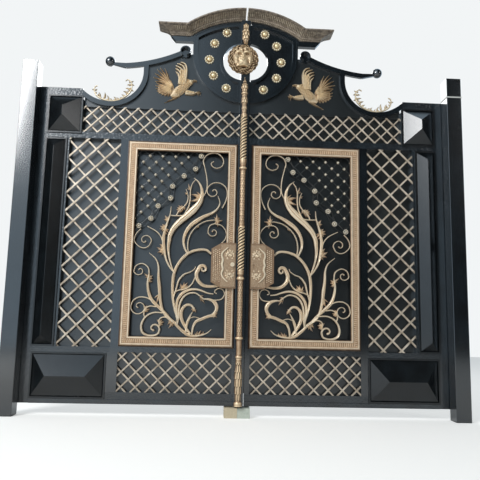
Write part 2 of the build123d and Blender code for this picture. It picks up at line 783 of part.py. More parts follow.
# Scrollwork, drawn from the gold frame's closing edge and its bottom
# Each strand has its width at the start, middle and end, its places, and the curl that it ends in
# A curl has its centre, its last radius, its turn in degrees and how late it closes
strands = (
    # Bracket
    ((14, 24, 8), ((134, 468), (196, 462), (247, 471), (285, 506), (298, 553),
     (281, 599)), ((249, 593), 9, 360, 1.0)),
    # Arch
    ((12, 18, 14), ((438, 176), (432, 215), (451, 278), (469, 363), (476, 463),
     (466, 563), (427, 648), (366, 711), (297, 739), (230, 741), (190, 713)), None),
    # Inner leaf stem
    ((9, 12, 5), ((467, 363), (446, 443), (430, 503), (393, 548), (349, 567),
     (318, 589), (306, 611)), None),
    # Lower leaf stem
    ((9, 11, 7), ((464, 408), (430, 427), (390, 436), (356, 453), (328, 481),
     (312, 518), (306, 541)), None),
    # Over arc
    ((12, 17, 9), ((436, 172), (430, 220), (440, 283), (434, 353), (400, 405),
     (351, 432), (301, 438), (252, 427), (208, 411), (165, 406)), None),
    # Small volute
    ((9, 9, 8), ((183, 360), (141, 360), (102, 369), (80, 406), (94, 439),
     (124, 449), (151, 434), (155, 416), (140, 411)), None),
    # Under arc
    ((11, 13, 9), ((430, 168), (423, 215), (422, 278), (413, 333), (389, 378),
     (351, 405), (306, 410), (269, 391), (239, 366)), None),
    # Hook
    ((9, 24, 16), ((239, 366), (198, 364), (161, 349), (137, 313), (143, 275),
     (168, 246)), None),
    # Hook leaf
    ((18, 18, 11), ((147, 245), (193, 238), (242, 218), (289, 195), (310, 155),
     (318, 98)), None),
    # Leaf two
    ((13, 16, 6), ((362, 118), (358, 173), (343, 218), (319, 267)), None),
    # Link two
    ((8, 8, 7), ((340, 218), (301, 230), (259, 218)), None),
    # Leaf curl
    ((13, 21, 12), ((330, 102), (379, 171), (403, 231), (397, 285), (367, 317),
     (332, 317), (304, 287)), None),
    # Root
    ((5, 19, 15), ((172, 140), (206, 111), (267, 91), (342, 93), (405, 137),
     (456, 188), (511, 227)), None),
    # Feather
    ((13, 20, 4), ((464, 191), (511, 227), (546, 283), (565, 363), (574, 443),
     (584, 523), (588, 603), (610, 660), (663, 706)), None),
    # Second stem
    ((13, 20, 11), ((469, 195), (523, 253), (582, 305), (629, 353), (655, 413),
     (664, 483), (655, 548)), None),
    # Top curl
    ((10, 8, 7), ((655, 543), (666, 595), (712, 623), (756, 606), (771, 566)), ((730, 571), 8, -290, 1.2)),
    # Middle curl
    ((10, 9, 7), ((624, 346), (673, 367), (724, 368), (765, 343), (781, 298)), ((723, 296), 8, -400, 1.5)),
    # Middle link
    ((9, 10, 9), ((590, 299), (641, 303), (672, 281), (682, 245), (673, 218)), None),
    # Great curl
    ((9, 14, 10), ((523, 253), (600, 257), (653, 235), (688, 193), (698, 145),
     (685, 106), (649, 86), (612, 84), (574, 96), (561, 125)), ((602, 136), 12, -260, 1.0)),
    # Curl leaf stem
    ((10, 10, 8), ((508, 223), (541, 222), (564, 205), (565, 175), (559, 155)), None),
    # Tall leaf
    ((9, 19, 5), ((464, 555), (503, 603), (533, 661), (549, 728), (559, 803),
     (555, 863), (541, 925), (525, 975), (514, 1018), (510, 1070)), None),
    # Great leaf stem
    ((9, 12, 22), ((469, 558), (494, 623), (511, 685), (519, 748), (515, 813)), None),
    # Great leaf
    ((22, 40, 4), ((516, 808), (508, 855), (482, 908), (439, 958), (390, 1003),
     (338, 1053), (295, 1108), (276, 1163), (280, 1221), (304, 1271), (340, 1303)), None),
    # Great leaf vein
    ((9, 10, 6), ((411, 1003), (377, 1071), (366, 1133), (366, 1203), (355, 1255),
     (328, 1293)), None),
    # Great leaf side
    ((9, 9, 5), ((466, 1003), (448, 1041), (408, 1078), (385, 1121), (385, 1171),
     (401, 1213)), None),
    # Leaf tie
    ((9, 9, 9), ((521, 1003), (474, 1000), (417, 1003)), None),
    # Shoulder leaf
    ((11, 24, 4), ((371, 703), (399, 763), (405, 818), (390, 875), (356, 928),
     (306, 969), (252, 1003), (198, 1028), (155, 1063), (135, 1111), (151, 1167)), None),
    # Shoulder vein
    ((9, 9, 8), ((366, 713), (372, 771), (366, 825), (346, 875), (309, 921),
     (257, 957), (203, 973), (151, 975)), None),
    # Lock curl
    ((9, 8, 8), ((126, 778), (110, 800), (88, 825), (77, 865), (92, 908), (125, 941)), None),
    # Lower spiral
    ((9, 8, 7), ((122, 938), (176, 945), (210, 925), (220, 885)), ((180, 883), 8, -330, 1.2)),
    # Upper spiral
    ((9, 8, 7), ((115, 1071), (88, 1133), (79, 1198), (100, 1246), (145, 1271),
     (194, 1266), (230, 1235), (235, 1198)), ((188, 1201), 8, -300, 1.2)),
    # Riser
    ((8, 9, 7), ((269, 1153), (243, 1203), (238, 1263), (245, 1323), (257, 1375),
     (270, 1429)), None),
    # Top spiral
    ((8, 8, 7), ((270, 1413), (272, 1451), (251, 1488), (208, 1509), (159, 1504),
     (125, 1475), (115, 1436), (129, 1404), (165, 1388), (201, 1401), (211, 1427),
     (192, 1443)), None),
    # Corner arc
    ((8, 9, 6), ((562, 788), (580, 835), (617, 875), (685, 911)), None),
    # Corner curl
    ((8, 8, 7), ((734, 890), (765, 855), (781, 803), (752, 761), (710, 743),
     (671, 757), (651, 797)), ((698, 801), 8, -300, 1.2)),
)

# Small pointed leaves on the strands: base, tip and width
leaflets = (
    ((661, 518), (629, 535), 12), ((661, 508), (626, 511), 12), ((661, 498), (629, 488), 12),
    ((653, 523), (695, 551), 11), ((676, 275), (641, 281), 12), ((676, 268), (649, 263), 11),
    ((679, 285), (661, 308), 12), ((564, 175), (528, 188), 13), ((564, 183), (543, 208), 12),
    ((562, 168), (535, 165), 12), ((562, 188), (584, 203), 12), ((392, 440), (364, 488), 13),
    ((394, 438), (390, 491), 13), ((397, 438), (417, 481), 11), ((390, 440), (361, 468), 12),
    ((309, 288), (292, 263), 12), ((314, 291), (299, 305), 11), ((318, 298), (316, 263), 9),
    ((168, 246), (129, 265), 15), ((168, 246), (132, 231), 13), ((543, 713), (602, 713), 13),
    ((555, 728), (607, 753), 15), ((558, 748), (587, 778), 12), ((267, 391), (230, 355), 9),
    ((252, 375), (228, 333), 8), ((466, 186), (494, 141), 12), ((474, 197), (502, 165), 10),
    ((577, 393), (594, 325), 13), ((242, 93), (230, 125), 9), ((267, 91), (249, 131), 10),
    ((287, 91), (277, 125), 9), ((439, 1058), (469, 1013), 14), ((442, 1053), (464, 1068), 14),
    ((420, 1063), (454, 1083), 14), ((408, 1078), (430, 1033), 12), ((284, 1150), (366, 1118), 16),
    ((284, 1156), (364, 1172), 14), ((366, 1206), (383, 1258), 9), ((390, 1173), (410, 1188), 8),
    ((528, 968), (555, 1003), 13), ((533, 963), (564, 968), 12), ((551, 905), (590, 918), 13),
    ((553, 888), (594, 893), 12), ((549, 912), (574, 935), 11), ((542, 897), (519, 863), 10),
    ((553, 863), (531, 853), 9), ((160, 975), (107, 977), 12), ((158, 974), (145, 923), 13),
    ((158, 974), (157, 1025), 11), ((297, 931), (311, 908), 9), ((454, 308), (464, 323), 8),
)


def lock_outline(side):
    """Corners of a lock box, cut away towards the scrollwork."""
    near = lock_near_of[side]
    far = lock_far_of[side]
    return ((near, lock_bottom), (far - lock_cut, lock_bottom), (far, lock_bottom + lock_cut_rise),
            (far, lock_top - lock_cut_rise), (far - lock_cut, lock_top), (near, lock_top))


def make_scrollwork(side):
    s = side_of[side]
    near = gold_edge_of[side]
    faces = []
    for widths, places, curl in strands:
        whole = list(places) + (curl_places(places[-1], curl) if curl else [])
        faces.append(strand([(s * (near + across), gold_bottom + up) for across, up in whole], widths))
    for base, tip, width in leaflets:
        faces.append(leaflet((s * (near + base[0]), gold_bottom + base[1]),
                             (s * (near + tip[0]), gold_bottom + tip[1]), width))
    with BuildPart() as scrolls:
        with BuildSketch(elevation(scroll_back)) as pattern:
            add(faces)
            rectangle_between(side, near + gold_bar, near + gold_width - gold_bar,
                              gold_bottom + gold_bar, gold_top - gold_bar, mode=Mode.INTERSECT)
            polygon(side, lock_outline(side), mode=Mode.SUBTRACT)
        extrude(pattern.sketch, amount=scroll_back - scroll_front)
    save(scrolls.part, f"{side}_scrollwork")


# Bud lattice in the upper outer corner, edged by two wires with rosebuds between them
rosebuds = ((290, 1486), (332, 1381), (420, 1321), (506, 1236), (518, 1142), (612, 1076), (663, 977),
            (753, 916))
inner_wire_ends = ((258, 1538), (812, 851))
outer_wire_ends = ((298, 1538), (812, 905))


def wire_places(ends, aside):
    """Places of an edging wire that passes every rosebud at this distance."""
    places = [ends[0]]
    for index, (across, up) in enumerate(rosebuds):
        before = rosebuds[max(index - 1, 0)]
        after = rosebuds[min(index + 1, len(rosebuds) - 1)]
        ahead = (Vector(*after) - Vector(*before)).normalized()
        places.append((across - ahead.Y * aside, up + ahead.X * aside))
    return places + [ends[1]]


def wire_across(up):
    """How far from the closing edge the outer wire runs at this height."""
    wire = wire_places(outer_wire_ends, rosebud_wire)
    for (near, high), (far, low) in zip(wire, wire[1:]):
        if low <= up <= high:
            return near + (far - near) * (high - up) / (high - low)
    return gold_width


def stud_places(side):
    """Middles of the studs on the lattice's crossings outside the outer wire."""
    places = []
    for column in range(-bud_wires, bud_wires):
        for row in range(-bud_wires, bud_wires):
            across = bud_across + column * bud_pitch / 2
            up = bud_up + row * bud_pitch / 2
            in_field = across < gold_width - ledge_lap and up < gold_top - ledge_lap - gold_bottom
            if (column + row) % 2 == 0 and in_field and across > wire_across(up) + stud_clear:
                places.append((gate_mid + side_of[side] * (gold_edge_of[side] + across),
                               leaf_front + (stud_front + stud_back) / 2, gold_bottom + up))
    return places


def make_bud_lattice(side):
    s = side_of[side]
    near = gold_edge_of[side]
    far = near + gold_width - ledge_lap
    high = gold_top - ledge_lap
    inner_wire = wire_places(inner_wire_ends, -rosebud_wire)
    outer_wire = wire_places(outer_wire_ends, rosebud_wire)
    field = [(near + across, gold_bottom + up) for across, up in inner_wire] + [(far, high)]
    crossings = [(s * (near + bud_across + step * bud_pitch), gold_bottom + bud_up)
                 for step in range(-bud_wires, bud_wires)]
    edges = []
    for line in (inner_wire, outer_wire):
        places = [(s * (near + across), gold_bottom + up) for across, up in line]
        edges.append(strand(places, (bud_wire, bud_wire, bud_wire)))
    with BuildPart() as lattice_part:
        for layer, lean in ((0, 45), (1, -45)):
            with BuildSketch(elevation(bud_back - layer * bud_wire)) as wires:
                with Locations(*crossings):
                    Rectangle(4 * gold_width, bud_wire, rotation=lean)
                with BuildSketch(mode=Mode.PRIVATE) as region:
                    polygon(side, field)
                add(region.sketch, mode=Mode.INTERSECT)
            extrude(wires.sketch, amount=bud_wire)
        with BuildSketch(elevation(bud_back)) as edging:
            add(edges)
            rectangle_between(side, near + ledge_lap, far, gold_bottom, high, mode=Mode.INTERSECT)
        extrude(edging.sketch, amount=2 * bud_wire)
        with BuildSketch(elevation(bud_back)) as flowers:
            for across, up in rosebuds:
                middle = (near + across, gold_bottom + up)
                polygon(side, lobes(middle, rosebud_r, rosebud_petals, rosebud_petal_depth))
        extrude(flowers.sketch, amount=bud_back - rosebud_front)
        with Locations(*stud_places(side)):
            Wedge(stud_side, stud_back - stud_front, stud_side, (stud_side - stud_top) / 2,
                  (stud_side - stud_top) / 2, (stud_side + stud_top) / 2, (stud_side + stud_top) / 2,
                  rotation=(180, 45, 0))
    save(lattice_part.part, f"{side}_bud_lattice")


# Lock boxes, each with a plate, a waved bar and a knob or a keyhole
lock_handle = ((62, 1256), (90, 1232), (106, 1213), (110, 1192), (100, 1158), (108, 1125), (99, 1092),
               (109, 1060), (103, 1034), (86, 1012), (62, 994))
lock_handle_widths = (6, 15, 6)


def make_lock_box(side):
    s = side_of[side]
    near = lock_near_of[side]
    inner = gold_edge_of[side] + gold_bar
    plate = (near + lock_plate_edge, near + lock_plate_width, lock_bottom + 2 * lock_plate_edge,
             lock_top - 2 * lock_plate_edge)
    waved = strand([(s * (near + across), up) for across, up in lock_handle], lock_handle_widths)
    with BuildPart() as lock:
        with BuildSketch(elevation(-gold_depth)) as body:
            polygon(side, lock_outline(side))
        extrude(body.sketch, amount=-lock_front - gold_depth)
        with BuildSketch(elevation(lock_back)) as root:
            polygon(side, lock_outline(side))
            rectangle_between(side, inner, lock_far_of[side], lock_bottom, lock_top, mode=Mode.INTERSECT)
        extrude(root.sketch, amount=lock_back + gold_depth)
        with BuildSketch(elevation(lock_front)) as raised:
            rectangle_between(side, *plate)
        extrude(raised.sketch, amount=lock_plate_thick)
        with BuildSketch(elevation(lock_front)) as handle:
            add(waved)
        extrude(handle.sketch, amount=lock_plate_thick + lock_handle_thick)
        if side == "left":
            with BuildSketch(elevation(lock_front - lock_plate_thick)) as knob:
                with Locations((s * (near + knob_across), lock_centre_height)):
                    Circle(knob_r)
            extrude(knob.sketch, amount=knob_r)
        else:
            slot_width, slot_length = keyhole_slot
            with BuildSketch(elevation(lock_front)) as keyhole:
                with Locations((s * (near + keyhole_across), lock_centre_height)):
                    Circle(keyhole_r)
                with Locations((s * (near + keyhole_across), lock_centre_height - slot_length / 2)):
                    Rectangle(slot_width, slot_length)
            extrude(keyhole.sketch, amount=lock_plate_thick, mode=Mode.SUBTRACT)
    save(lock.part, f"{side}_lock_box")


# Centre bar, pole and lion head, all on the left leaf
def make_centre_bar():
    width = edge_of["left"] + bar_right_edge
    with BuildPart() as bar:
        middle = gate_mid + (bar_right_edge - edge_of["left"]) / 2
        with Locations((middle, leaf_front + (bar_front + bar_back) / 2, (leaf_bottom + bar_top) / 2)):
            Box(width, bar_back - bar_front, bar_top - leaf_bottom)
    save(bar.part, "centre_bar")


# Turned lengths of the pole, radius and height, with the two twisted lengths between them
pole_foot = ((30, 87), (30, 108), (22, 125), (27, 200), (30, 300), (23, 385), (20, 425), (26, 440), (20, 455),
             (20, 560), (29, 577), (20, 594), (20, 1000), (29, 1020), (20, 1040), (24, 1060), (24, 1079))
pole_middle = ((24, 1410), (20, 1428), (20, 1858), (29, 1874), (20, 1890), (24, 1928), (24, 1944))
pole_head = ((24, 2292), (24, 2306), (17, 2318), (22, 2370), (17, 2384), (25, 2412), (24, 2440), (18, 2465),
             (26, 2480), (20, 2494), (28, 2538), (14, 2578), (3, 2612))
finial = ((16, 2903), (27, 2935), (31, 2970), (31, 3002), (23, 3032), (27, 3052), (6, 3072))


def twisted_bar(x, y, low, high):
    """Square bar twisted about its axis, with flat facets between its ridges and grooves."""
    steps = round((high - low) / twist_pitch * twist_steps)
    rings = []
    for step in range(steps + 1):
        up = low + (high - low) * step / steps
        turns = [math.tau * (step / twist_steps + corner / twist_ridges) for corner in range(twist_ridges)]
        rings.append([Vector(x + twist_r * math.cos(turn), y + twist_r * math.sin(turn), up)
                      for turn in turns])
    facets = [rings[0], rings[-1]]
    for below, above in zip(rings, rings[1:]):
        for corner in range(twist_ridges):
            facets.append((below[corner - 1], below[corner], above[corner]))
            facets.append((below[corner - 1], above[corner], above[corner - 1]))
    return Solid(Shell([Face(Wire.make_polygon(corners)) for corners in facets]))


def make_centre_pole():
    x = gate_mid + pole_x
    y = leaf_front + bar_front - pole_stand
    with BuildPart() as pole:
        for outline in (pole_foot, pole_middle, pole_head, finial):
            with BuildSketch(Plane.XZ.offset(-y)) as half:
                edge = [(x + radius, up) for radius, up in outline]
                Polygon((x, outline[0][1]), *edge, (x, outline[-1][1]), align=None)
            revolve(half.sketch, axis=Axis((x, y, 0), (0, 0, 1)))
        for below, above in ((pole_foot, pole_middle), (pole_middle, pole_head)):
            add(twisted_bar(x, y, below[-1][1], above[0][1]))
        with Locations((x, leaf_front + bar_front + pole_stand, (leaf_bottom + bar_top) / 2)):
            Box(4 * pole_stand, 2 * pole_stand, bar_top - leaf_bottom, mode=Mode.SUBTRACT)
    save(pole.part, "centre_pole")


# Lion head: the mane's layers with their radius, lobes, lobe depth and rise, then the face and the muzzle
# The domes of the face and the muzzle are drawn by their radius and rise
lion_mane = ((124, 18, 12, 12), (104, 14, 12, 12), (84, 11, 9, 8))
lion_face = ((64, 0), (60, 12), (46, 22), (24, 28), (0, 30))
lion_muzzle_drop = 50
lion_muzzle = ((34, 0), (32, 32), (22, 42), (0, 46))


def dome(centre, depth, outline):
    """Add a dome that rises towards the viewer."""
    x = gate_mid + centre[0]
    y = leaf_front + depth
    with BuildSketch(Plane.XY.offset(centre[1])) as half:
        Polygon((x, y), *[(x + radius, y - rise) for radius, rise in outline], align=None)
    revolve(half.sketch, axis=Axis((x, y, centre[1]), (0, 1, 0)))


def make_lion():
    with BuildPart() as lion:
        with BuildSketch(elevation(bar_front)) as plate:
            with Locations(lion_centre):
                Circle(lion_r)
        extrude(plate.sketch, amount=lion_plate)
        front = bar_front - lion_plate
        for radius, count, depth, rise in lion_mane:
            with BuildSketch(elevation(front)) as layer:
                Polygon(*lobes(lion_centre, radius, count, depth), align=None)
            extrude(layer.sketch, amount=rise)
            front -= rise
        dome(lion_centre, front, lion_face)
        dome((lion_centre[0], lion_centre[1] - lion_muzzle_drop), front, lion_muzzle)
    save(lion.part, "lion_head")


# Lift-off hinges behind the posts
def make_hinges(side):
    s = side_of[side]
    centre = (gate_mid + s * hinge_out, leaf_front + hinge_depth)
    with BuildPart() as fixed:
        for height in hinge_heights:
            with BuildSketch(Plane.XY.offset(height)) as lower:
                with Locations(centre):
                    Circle(barrel_r)
                with Locations((centre[0], (centre[1] + post / 2) / 2)):
                    Rectangle(hinge_plate, centre[1] - post / 2)
            extrude(lower.sketch, amount=knuckle)
            with BuildSketch(Plane.XY.offset(height + knuckle)) as pin:
                with Locations(centre):
                    Circle(pin_r)
            extrude(pin.sketch, amount=knuckle)
    save(fixed.part, f"{side}_post_hinges")
    with BuildPart() as moving:
        for height in hinge_heights:
            with BuildSketch(Plane.XY.offset(height + knuckle + knuckle_gap)) as upper:
                with Locations(centre):
                    Circle(barrel_r)
                end = gate_mid + s * leaf_outer
                with Locations(((centre[0] + end) / 2, centre[1])):
                    Rectangle(abs(centre[0] - end), hinge_plate)
                with Locations(centre):
                    Circle(pin_r + bore_clear, mode=Mode.SUBTRACT)
            extrude(upper.sketch, amount=knuckle)
    save(moving.part, f"{side}_leaf_hinges")


make_posts()
make_strap()
make_stops()
make_centre_bar()
make_centre_pole()
make_lion()
for leaf in ("left", "right"):
    make_outer_stiles(leaf)
    make_mid_stile(leaf)
    make_closing_stile(leaf)
    make_lower_rails(leaf)
    make_upper_rails(leaf)
    make_sheets(leaf)
    make_crest_rails(leaf)
    make_disc(leaf)
    make_rosettes(leaf)
    make_cornice(leaf)
    make_eagle(leaf)
    make_leaf_spray(leaf)
    make_lattices(leaf)
    make_panels(leaf)
    make_gold_frame(leaf)
    make_scrollwork(leaf)
    make_bud_lattice(leaf)
    make_lock_box(leaf)
    make_hinges(leaf)
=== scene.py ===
import math

import bmesh
import bpy
from mathutils import Matrix, Vector


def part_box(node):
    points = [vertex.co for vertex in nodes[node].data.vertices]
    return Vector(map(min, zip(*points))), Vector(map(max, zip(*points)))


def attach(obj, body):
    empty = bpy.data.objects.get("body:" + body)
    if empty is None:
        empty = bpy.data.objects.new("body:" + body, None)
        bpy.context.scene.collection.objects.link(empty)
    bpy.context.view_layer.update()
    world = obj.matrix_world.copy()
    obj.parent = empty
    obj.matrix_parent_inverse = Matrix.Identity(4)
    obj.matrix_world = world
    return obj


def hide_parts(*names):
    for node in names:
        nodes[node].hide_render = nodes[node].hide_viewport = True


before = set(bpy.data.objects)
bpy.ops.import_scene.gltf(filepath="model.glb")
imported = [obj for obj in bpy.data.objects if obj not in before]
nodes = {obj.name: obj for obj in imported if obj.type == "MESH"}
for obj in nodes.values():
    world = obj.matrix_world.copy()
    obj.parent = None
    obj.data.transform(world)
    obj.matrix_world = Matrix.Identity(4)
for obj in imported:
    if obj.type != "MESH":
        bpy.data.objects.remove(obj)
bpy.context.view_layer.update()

# Camera
# It stands low in front of the left leaf, at the height of a walker's hip, and looks slightly up and to the
# right. Its place, angles and lens make the gate's corners fall where the photograph has them.
camera_place = (1.4316, -4.2526, 0.6983)
camera_turn = math.radians(2.888)
camera_rise = math.radians(8.222)
camera_roll = math.radians(1.324)
camera_lens = 42.4
camera_film_width = 36
camera_reach = 100
camera_data = bpy.data.cameras.new("camera")
camera_data.lens = camera_lens
camera_data.sensor_width = camera_film_width
camera_data.clip_end = camera_reach
camera = bpy.data.objects.new("camera", camera_data)
bpy.context.collection.objects.link(camera)
camera.matrix_world = (
    Matrix.Translation(camera_place)
    @ Matrix.Rotation(-camera_turn, 4, "Z")
    @ Matrix.Rotation(math.radians(90) + camera_rise, 4, "X")
    @ Matrix.Rotation(camera_roll, 4, "Z")
)
bpy.context.scene.camera = camera
bpy.context.scene.view_settings.view_transform = "Standard"


# Studio
# A matt pale floor that keeps the gate's shadow, a pale backdrop, and a room of soft bluish light. Gloss and
# metal mirror the backdrop too, as clear sky towards the left front and as deep shade towards the right front.
def linear(hex_colour):
    """Linear colour of an sRGB hex value."""
    channels = [int(hex_colour[place:place + 2], 16) / 255 for place in (1, 3, 5)]
    return [c / 12.92 if c <= 0.04045 else ((c + 0.055) / 1.055) ** 2.4 for c in channels] + [1]


def add_node(tree, kind, settings=None, links=None):
    """Add a node, set its properties and its inputs, and link the inputs that are given a socket."""
    node = tree.nodes.new(kind)
    for name, value in (settings or {}).items():
        setattr(node, name, value)
    for name, value in (links or {}).items():
        if isinstance(value, bpy.types.NodeSocket):
            tree.links.new(value, node.inputs[name])
        else:
            node.inputs[name].default_value = value
    return node


floor_half = 9
floor_glow = 0.42
floor_mesh = bpy.data.meshes.new("floor")
floor_mesh.from_pydata([(-floor_half, -floor_half, 0), (floor_half, -floor_half, 0),
                        (floor_half, floor_half, 0), (-floor_half, floor_half, 0)], [], [(0, 1, 2, 3)])
floor = bpy.data.objects.new("floor", floor_mesh)
bpy.context.collection.objects.link(floor)
floor_paint = bpy.data.materials.new("matt floor paint")
floor_paint.use_nodes = True
floor_tree = floor_paint.node_tree
floor_rays = add_node(floor_tree, "ShaderNodeLightPath")
glow = add_node(floor_tree, "ShaderNodeMath", {"operation": "MULTIPLY"},
                {0: floor_rays.outputs["Is Camera Ray"], 1: floor_glow})
floor_shader = floor_tree.nodes["Principled BSDF"]
floor_shader.inputs["Base Color"].default_value = linear("#e9e9e6")
floor_shader.inputs["Roughness"].default_value = 0.9
floor_shader.inputs["Emission Color"].default_value = linear("#f0f0ee")
floor_tree.links.new(glow.outputs[0], floor_shader.inputs["Emission Strength"])
floor_mesh.materials.append(floor_paint)

room_left, room_right = "#c4d2de", "#8f979c"
room_strength = 0.62
backdrop_white = "#f2f5f6"
mirrored_sky, mirrored_shade = "#cbe2f4", "#25292a"

# Where each blend begins and ends along the way that a ray goes: -1 is left or front, 1 is right or back.
room_blend = (-0.45, 0.4)
facing_blend = (-0.25, 0.25)
shade_blend = (-0.1, 0.09)
world = bpy.data.worlds.new("studio")
bpy.context.scene.world = world
world.use_nodes = True
sky = world.node_tree
sky.nodes.clear()
rays = add_node(sky, "ShaderNodeLightPath")
seen = add_node(sky, "ShaderNodeMath", {"operation": "MAXIMUM"},
                {0: rays.outputs["Is Camera Ray"], 1: rays.outputs["Is Transmission Ray"]})
seen = add_node(sky, "ShaderNodeMath", {"operation": "MAXIMUM"},
                {0: seen.outputs[0], 1: rays.outputs["Is Glossy Ray"]})
toward = add_node(sky, "ShaderNodeSeparateXYZ", None,
                  {0: add_node(sky, "ShaderNodeTexCoord").outputs["Generated"]})

# The room's own light turns from bluish on the left to grey on the right.
to_right = add_node(sky, "ShaderNodeMapRange", {"interpolation_type": "SMOOTHSTEP"},
                    {0: toward.outputs["X"], 1: room_blend[0], 2: room_blend[1], 3: 0.0, 4: 1.0})
room = add_node(sky, "ShaderNodeMix", {"data_type": "RGBA"},
                {0: to_right.outputs[0], 6: linear(room_left), 7: linear(room_right)})
lit = add_node(sky, "ShaderNodeBackground", None, {"Color": room.outputs[2], "Strength": room_strength})

# In front of the gate the shade stands to the right, and behind it to the left.
which_way = add_node(sky, "ShaderNodeMapRange", None,
                     {0: toward.outputs["Y"], 1: facing_blend[0], 2: facing_blend[1], 3: 1.0, 4: -1.0})
shade_side = add_node(sky, "ShaderNodeMath", {"operation": "MULTIPLY"},
                      {0: toward.outputs["X"], 1: which_way.outputs[0]})
shaded = add_node(sky, "ShaderNodeMapRange", {"interpolation_type": "SMOOTHSTEP"},
                  {0: shade_side.outputs[0], 1: shade_blend[0], 2: shade_blend[1], 3: 0.0, 4: 1.0})
mirrored = add_node(sky, "ShaderNodeMath", {"operation": "MULTIPLY"},
                    {0: shaded.outputs[0], 1: rays.outputs["Is Glossy Ray"]})
skyward = add_node(sky, "ShaderNodeMix", {"data_type": "RGBA"},
                   {0: rays.outputs["Is Glossy Ray"], 6: linear(backdrop_white), 7: linear(mirrored_sky)})
backdrop = add_node(sky, "ShaderNodeMix", {"data_type": "RGBA"},
                    {0: mirrored.outputs[0], 6: skyward.outputs[2], 7: linear(mirrored_shade)})
shown = add_node(sky, "ShaderNodeBackground", None, {"Color": backdrop.outputs[2], "Strength": 1.0})
blend_sky = add_node(sky, "ShaderNodeMixShader", None,
                     {0: seen.outputs[0], 1: lit.outputs[0], 2: shown.outputs[0]})
add_node(sky, "ShaderNodeOutputWorld", None, {"Surface": blend_sky.outputs[0]})

# Three broad lamps aimed at the gate's middle: where each stands, how wide it is and its power in watts
lamp_aim = Vector((1.7, 0, 1.5))
for lamp_name, lamp_place, lamp_size, lamp_power in (
    ("key lamp", (-3.3, -5.6, 5.1), 2.8, 490),
    ("fill lamp", (8.2, -5.5, 4.5), 3.0, 90),
    ("back lamp", (1.7, 5.0, 4.5), 3.0, 120),
):
    lamp_data = bpy.data.lights.new(lamp_name, "AREA")
    lamp_data.size = lamp_size
    lamp_data.energy = lamp_power
    lamp = bpy.data.objects.new(lamp_name, lamp_data)
    lamp.location = lamp_place
    lamp.rotation_euler = (lamp_aim - Vector(lamp_place)).to_track_quat("-Z", "Y").to_euler()
    bpy.context.collection.objects.link(lamp)


def new_material(name, metallic, roughness, coat=None):
    """Material with its tree and shader. A clear coat has a weight, an IOR and a roughness."""
    material = bpy.data.materials.new(name)
    material.use_nodes = True
    shader = material.node_tree.nodes["Principled BSDF"]
    shader.inputs["Metallic"].default_value = metallic
    shader.inputs["Roughness"].default_value = roughness
    if coat:
        for socket, value in zip(("Coat Weight", "Coat IOR", "Coat Roughness"), coat):
            shader.inputs[socket].default_value = value
    return material, material.node_tree, shader


def painted(name, shades, patch, metallic, roughness, coat=None, peel=None):
    """Paint in two shades that pool in soft patches, with the orange peel that it dries to.

    A patch is its size in millimetres, its detail, and where in the noise one shade ends and the other
    begins. A peel is its size in millimetres, its detail, and its depth in millimetres.
    """
    material, tree, shader = new_material(name, metallic, roughness, coat)
    place = add_node(tree, "ShaderNodeTexCoord").outputs["Object"]
    size, detail, ends, begins = patch
    pooled = add_node(tree, "ShaderNodeTexNoise", None,
                      {"Vector": place, "Scale": 1000 / size, "Detail": detail})
    share = add_node(tree, "ShaderNodeMapRange", None, {0: pooled.outputs[0], 1: ends, 2: begins})
    shade = add_node(tree, "ShaderNodeMix", {"data_type": "RGBA"},
                     {0: share.outputs[0], 6: linear(shades[0]), 7: linear(shades[1])})
    tree.links.new(shade.outputs[2], shader.inputs["Base Color"])
    if peel:
        size, detail, depth = peel
        dried = add_node(tree, "ShaderNodeTexNoise", None,
                         {"Vector": place, "Scale": 1000 / size, "Detail": detail})
        relief = add_node(tree, "ShaderNodeBump", None,
                          {"Height": dried.outputs[0], "Distance": depth / 1000, "Strength": 1.0})
        tree.links.new(relief.outputs[0], shader.inputs["Normal"])
    return material


def wear(material, *names):
    """Give CAD nodes this material."""
    for name in names:
        nodes[name].data.materials.clear()
        nodes[name].data.materials.append(material)


# Sprayed enamel flows out almost flat: a deep clear gloss, greyed in broad patches by a film of dust. Its faint
# orange peel is drawn 9 mm across, because a real one of 2 mm is too fine to show in the render.
enamel = painted("sprayed near-black gloss enamel", ("#0c1013", "#161d22"), patch=(160, 3, 0.35, 0.75),
                 metallic=0.0, roughness=0.2, coat=(1.0, 1.85, 0.1), peel=(9, 1, 0.12))
wear(enamel, "left_post", "right_post", "left_mid_stile", "right_mid_stile", "left_closing_stile",
     "right_closing_stile", "centre_bar", "left_disc", "right_disc")

# Woven polyester webbing: dull off-white, with ribs across the band. Real ribs are 3 mm apart, too fine to show
# in the render, so they are drawn 19 mm apart. A wave texture of scale 1 runs through 20 radians in a metre.
rib_pitch = 18.85
wave_radians = 20
webbing, tree, shader = new_material("woven polyester webbing", metallic=0.0, roughness=0.85)
place = add_node(tree, "ShaderNodeTexCoord")
ribs = add_node(tree, "ShaderNodeTexWave", {"bands_direction": "Z"},
                {"Vector": place.outputs["Object"], "Scale": math.tau * 1000 / rib_pitch / wave_radians})
weave = add_node(tree, "ShaderNodeMix", {"data_type": "RGBA"},
                 {0: ribs.outputs[1], 6: linear("#b9bab4"), 7: linear("#dddcd6")})
tree.links.new(weave.outputs[2], shader.inputs["Base Color"])
wear(webbing, "right_post_strap")

# Stop blocks
# Two cast stone blocks stand on the ground under the pole's foot, butted together, the left one cream and the
# right one washed greenish white.
left_block_width = 96
stone_grain = 14
stone_pores = 4
stone_pore_depth = 0.8

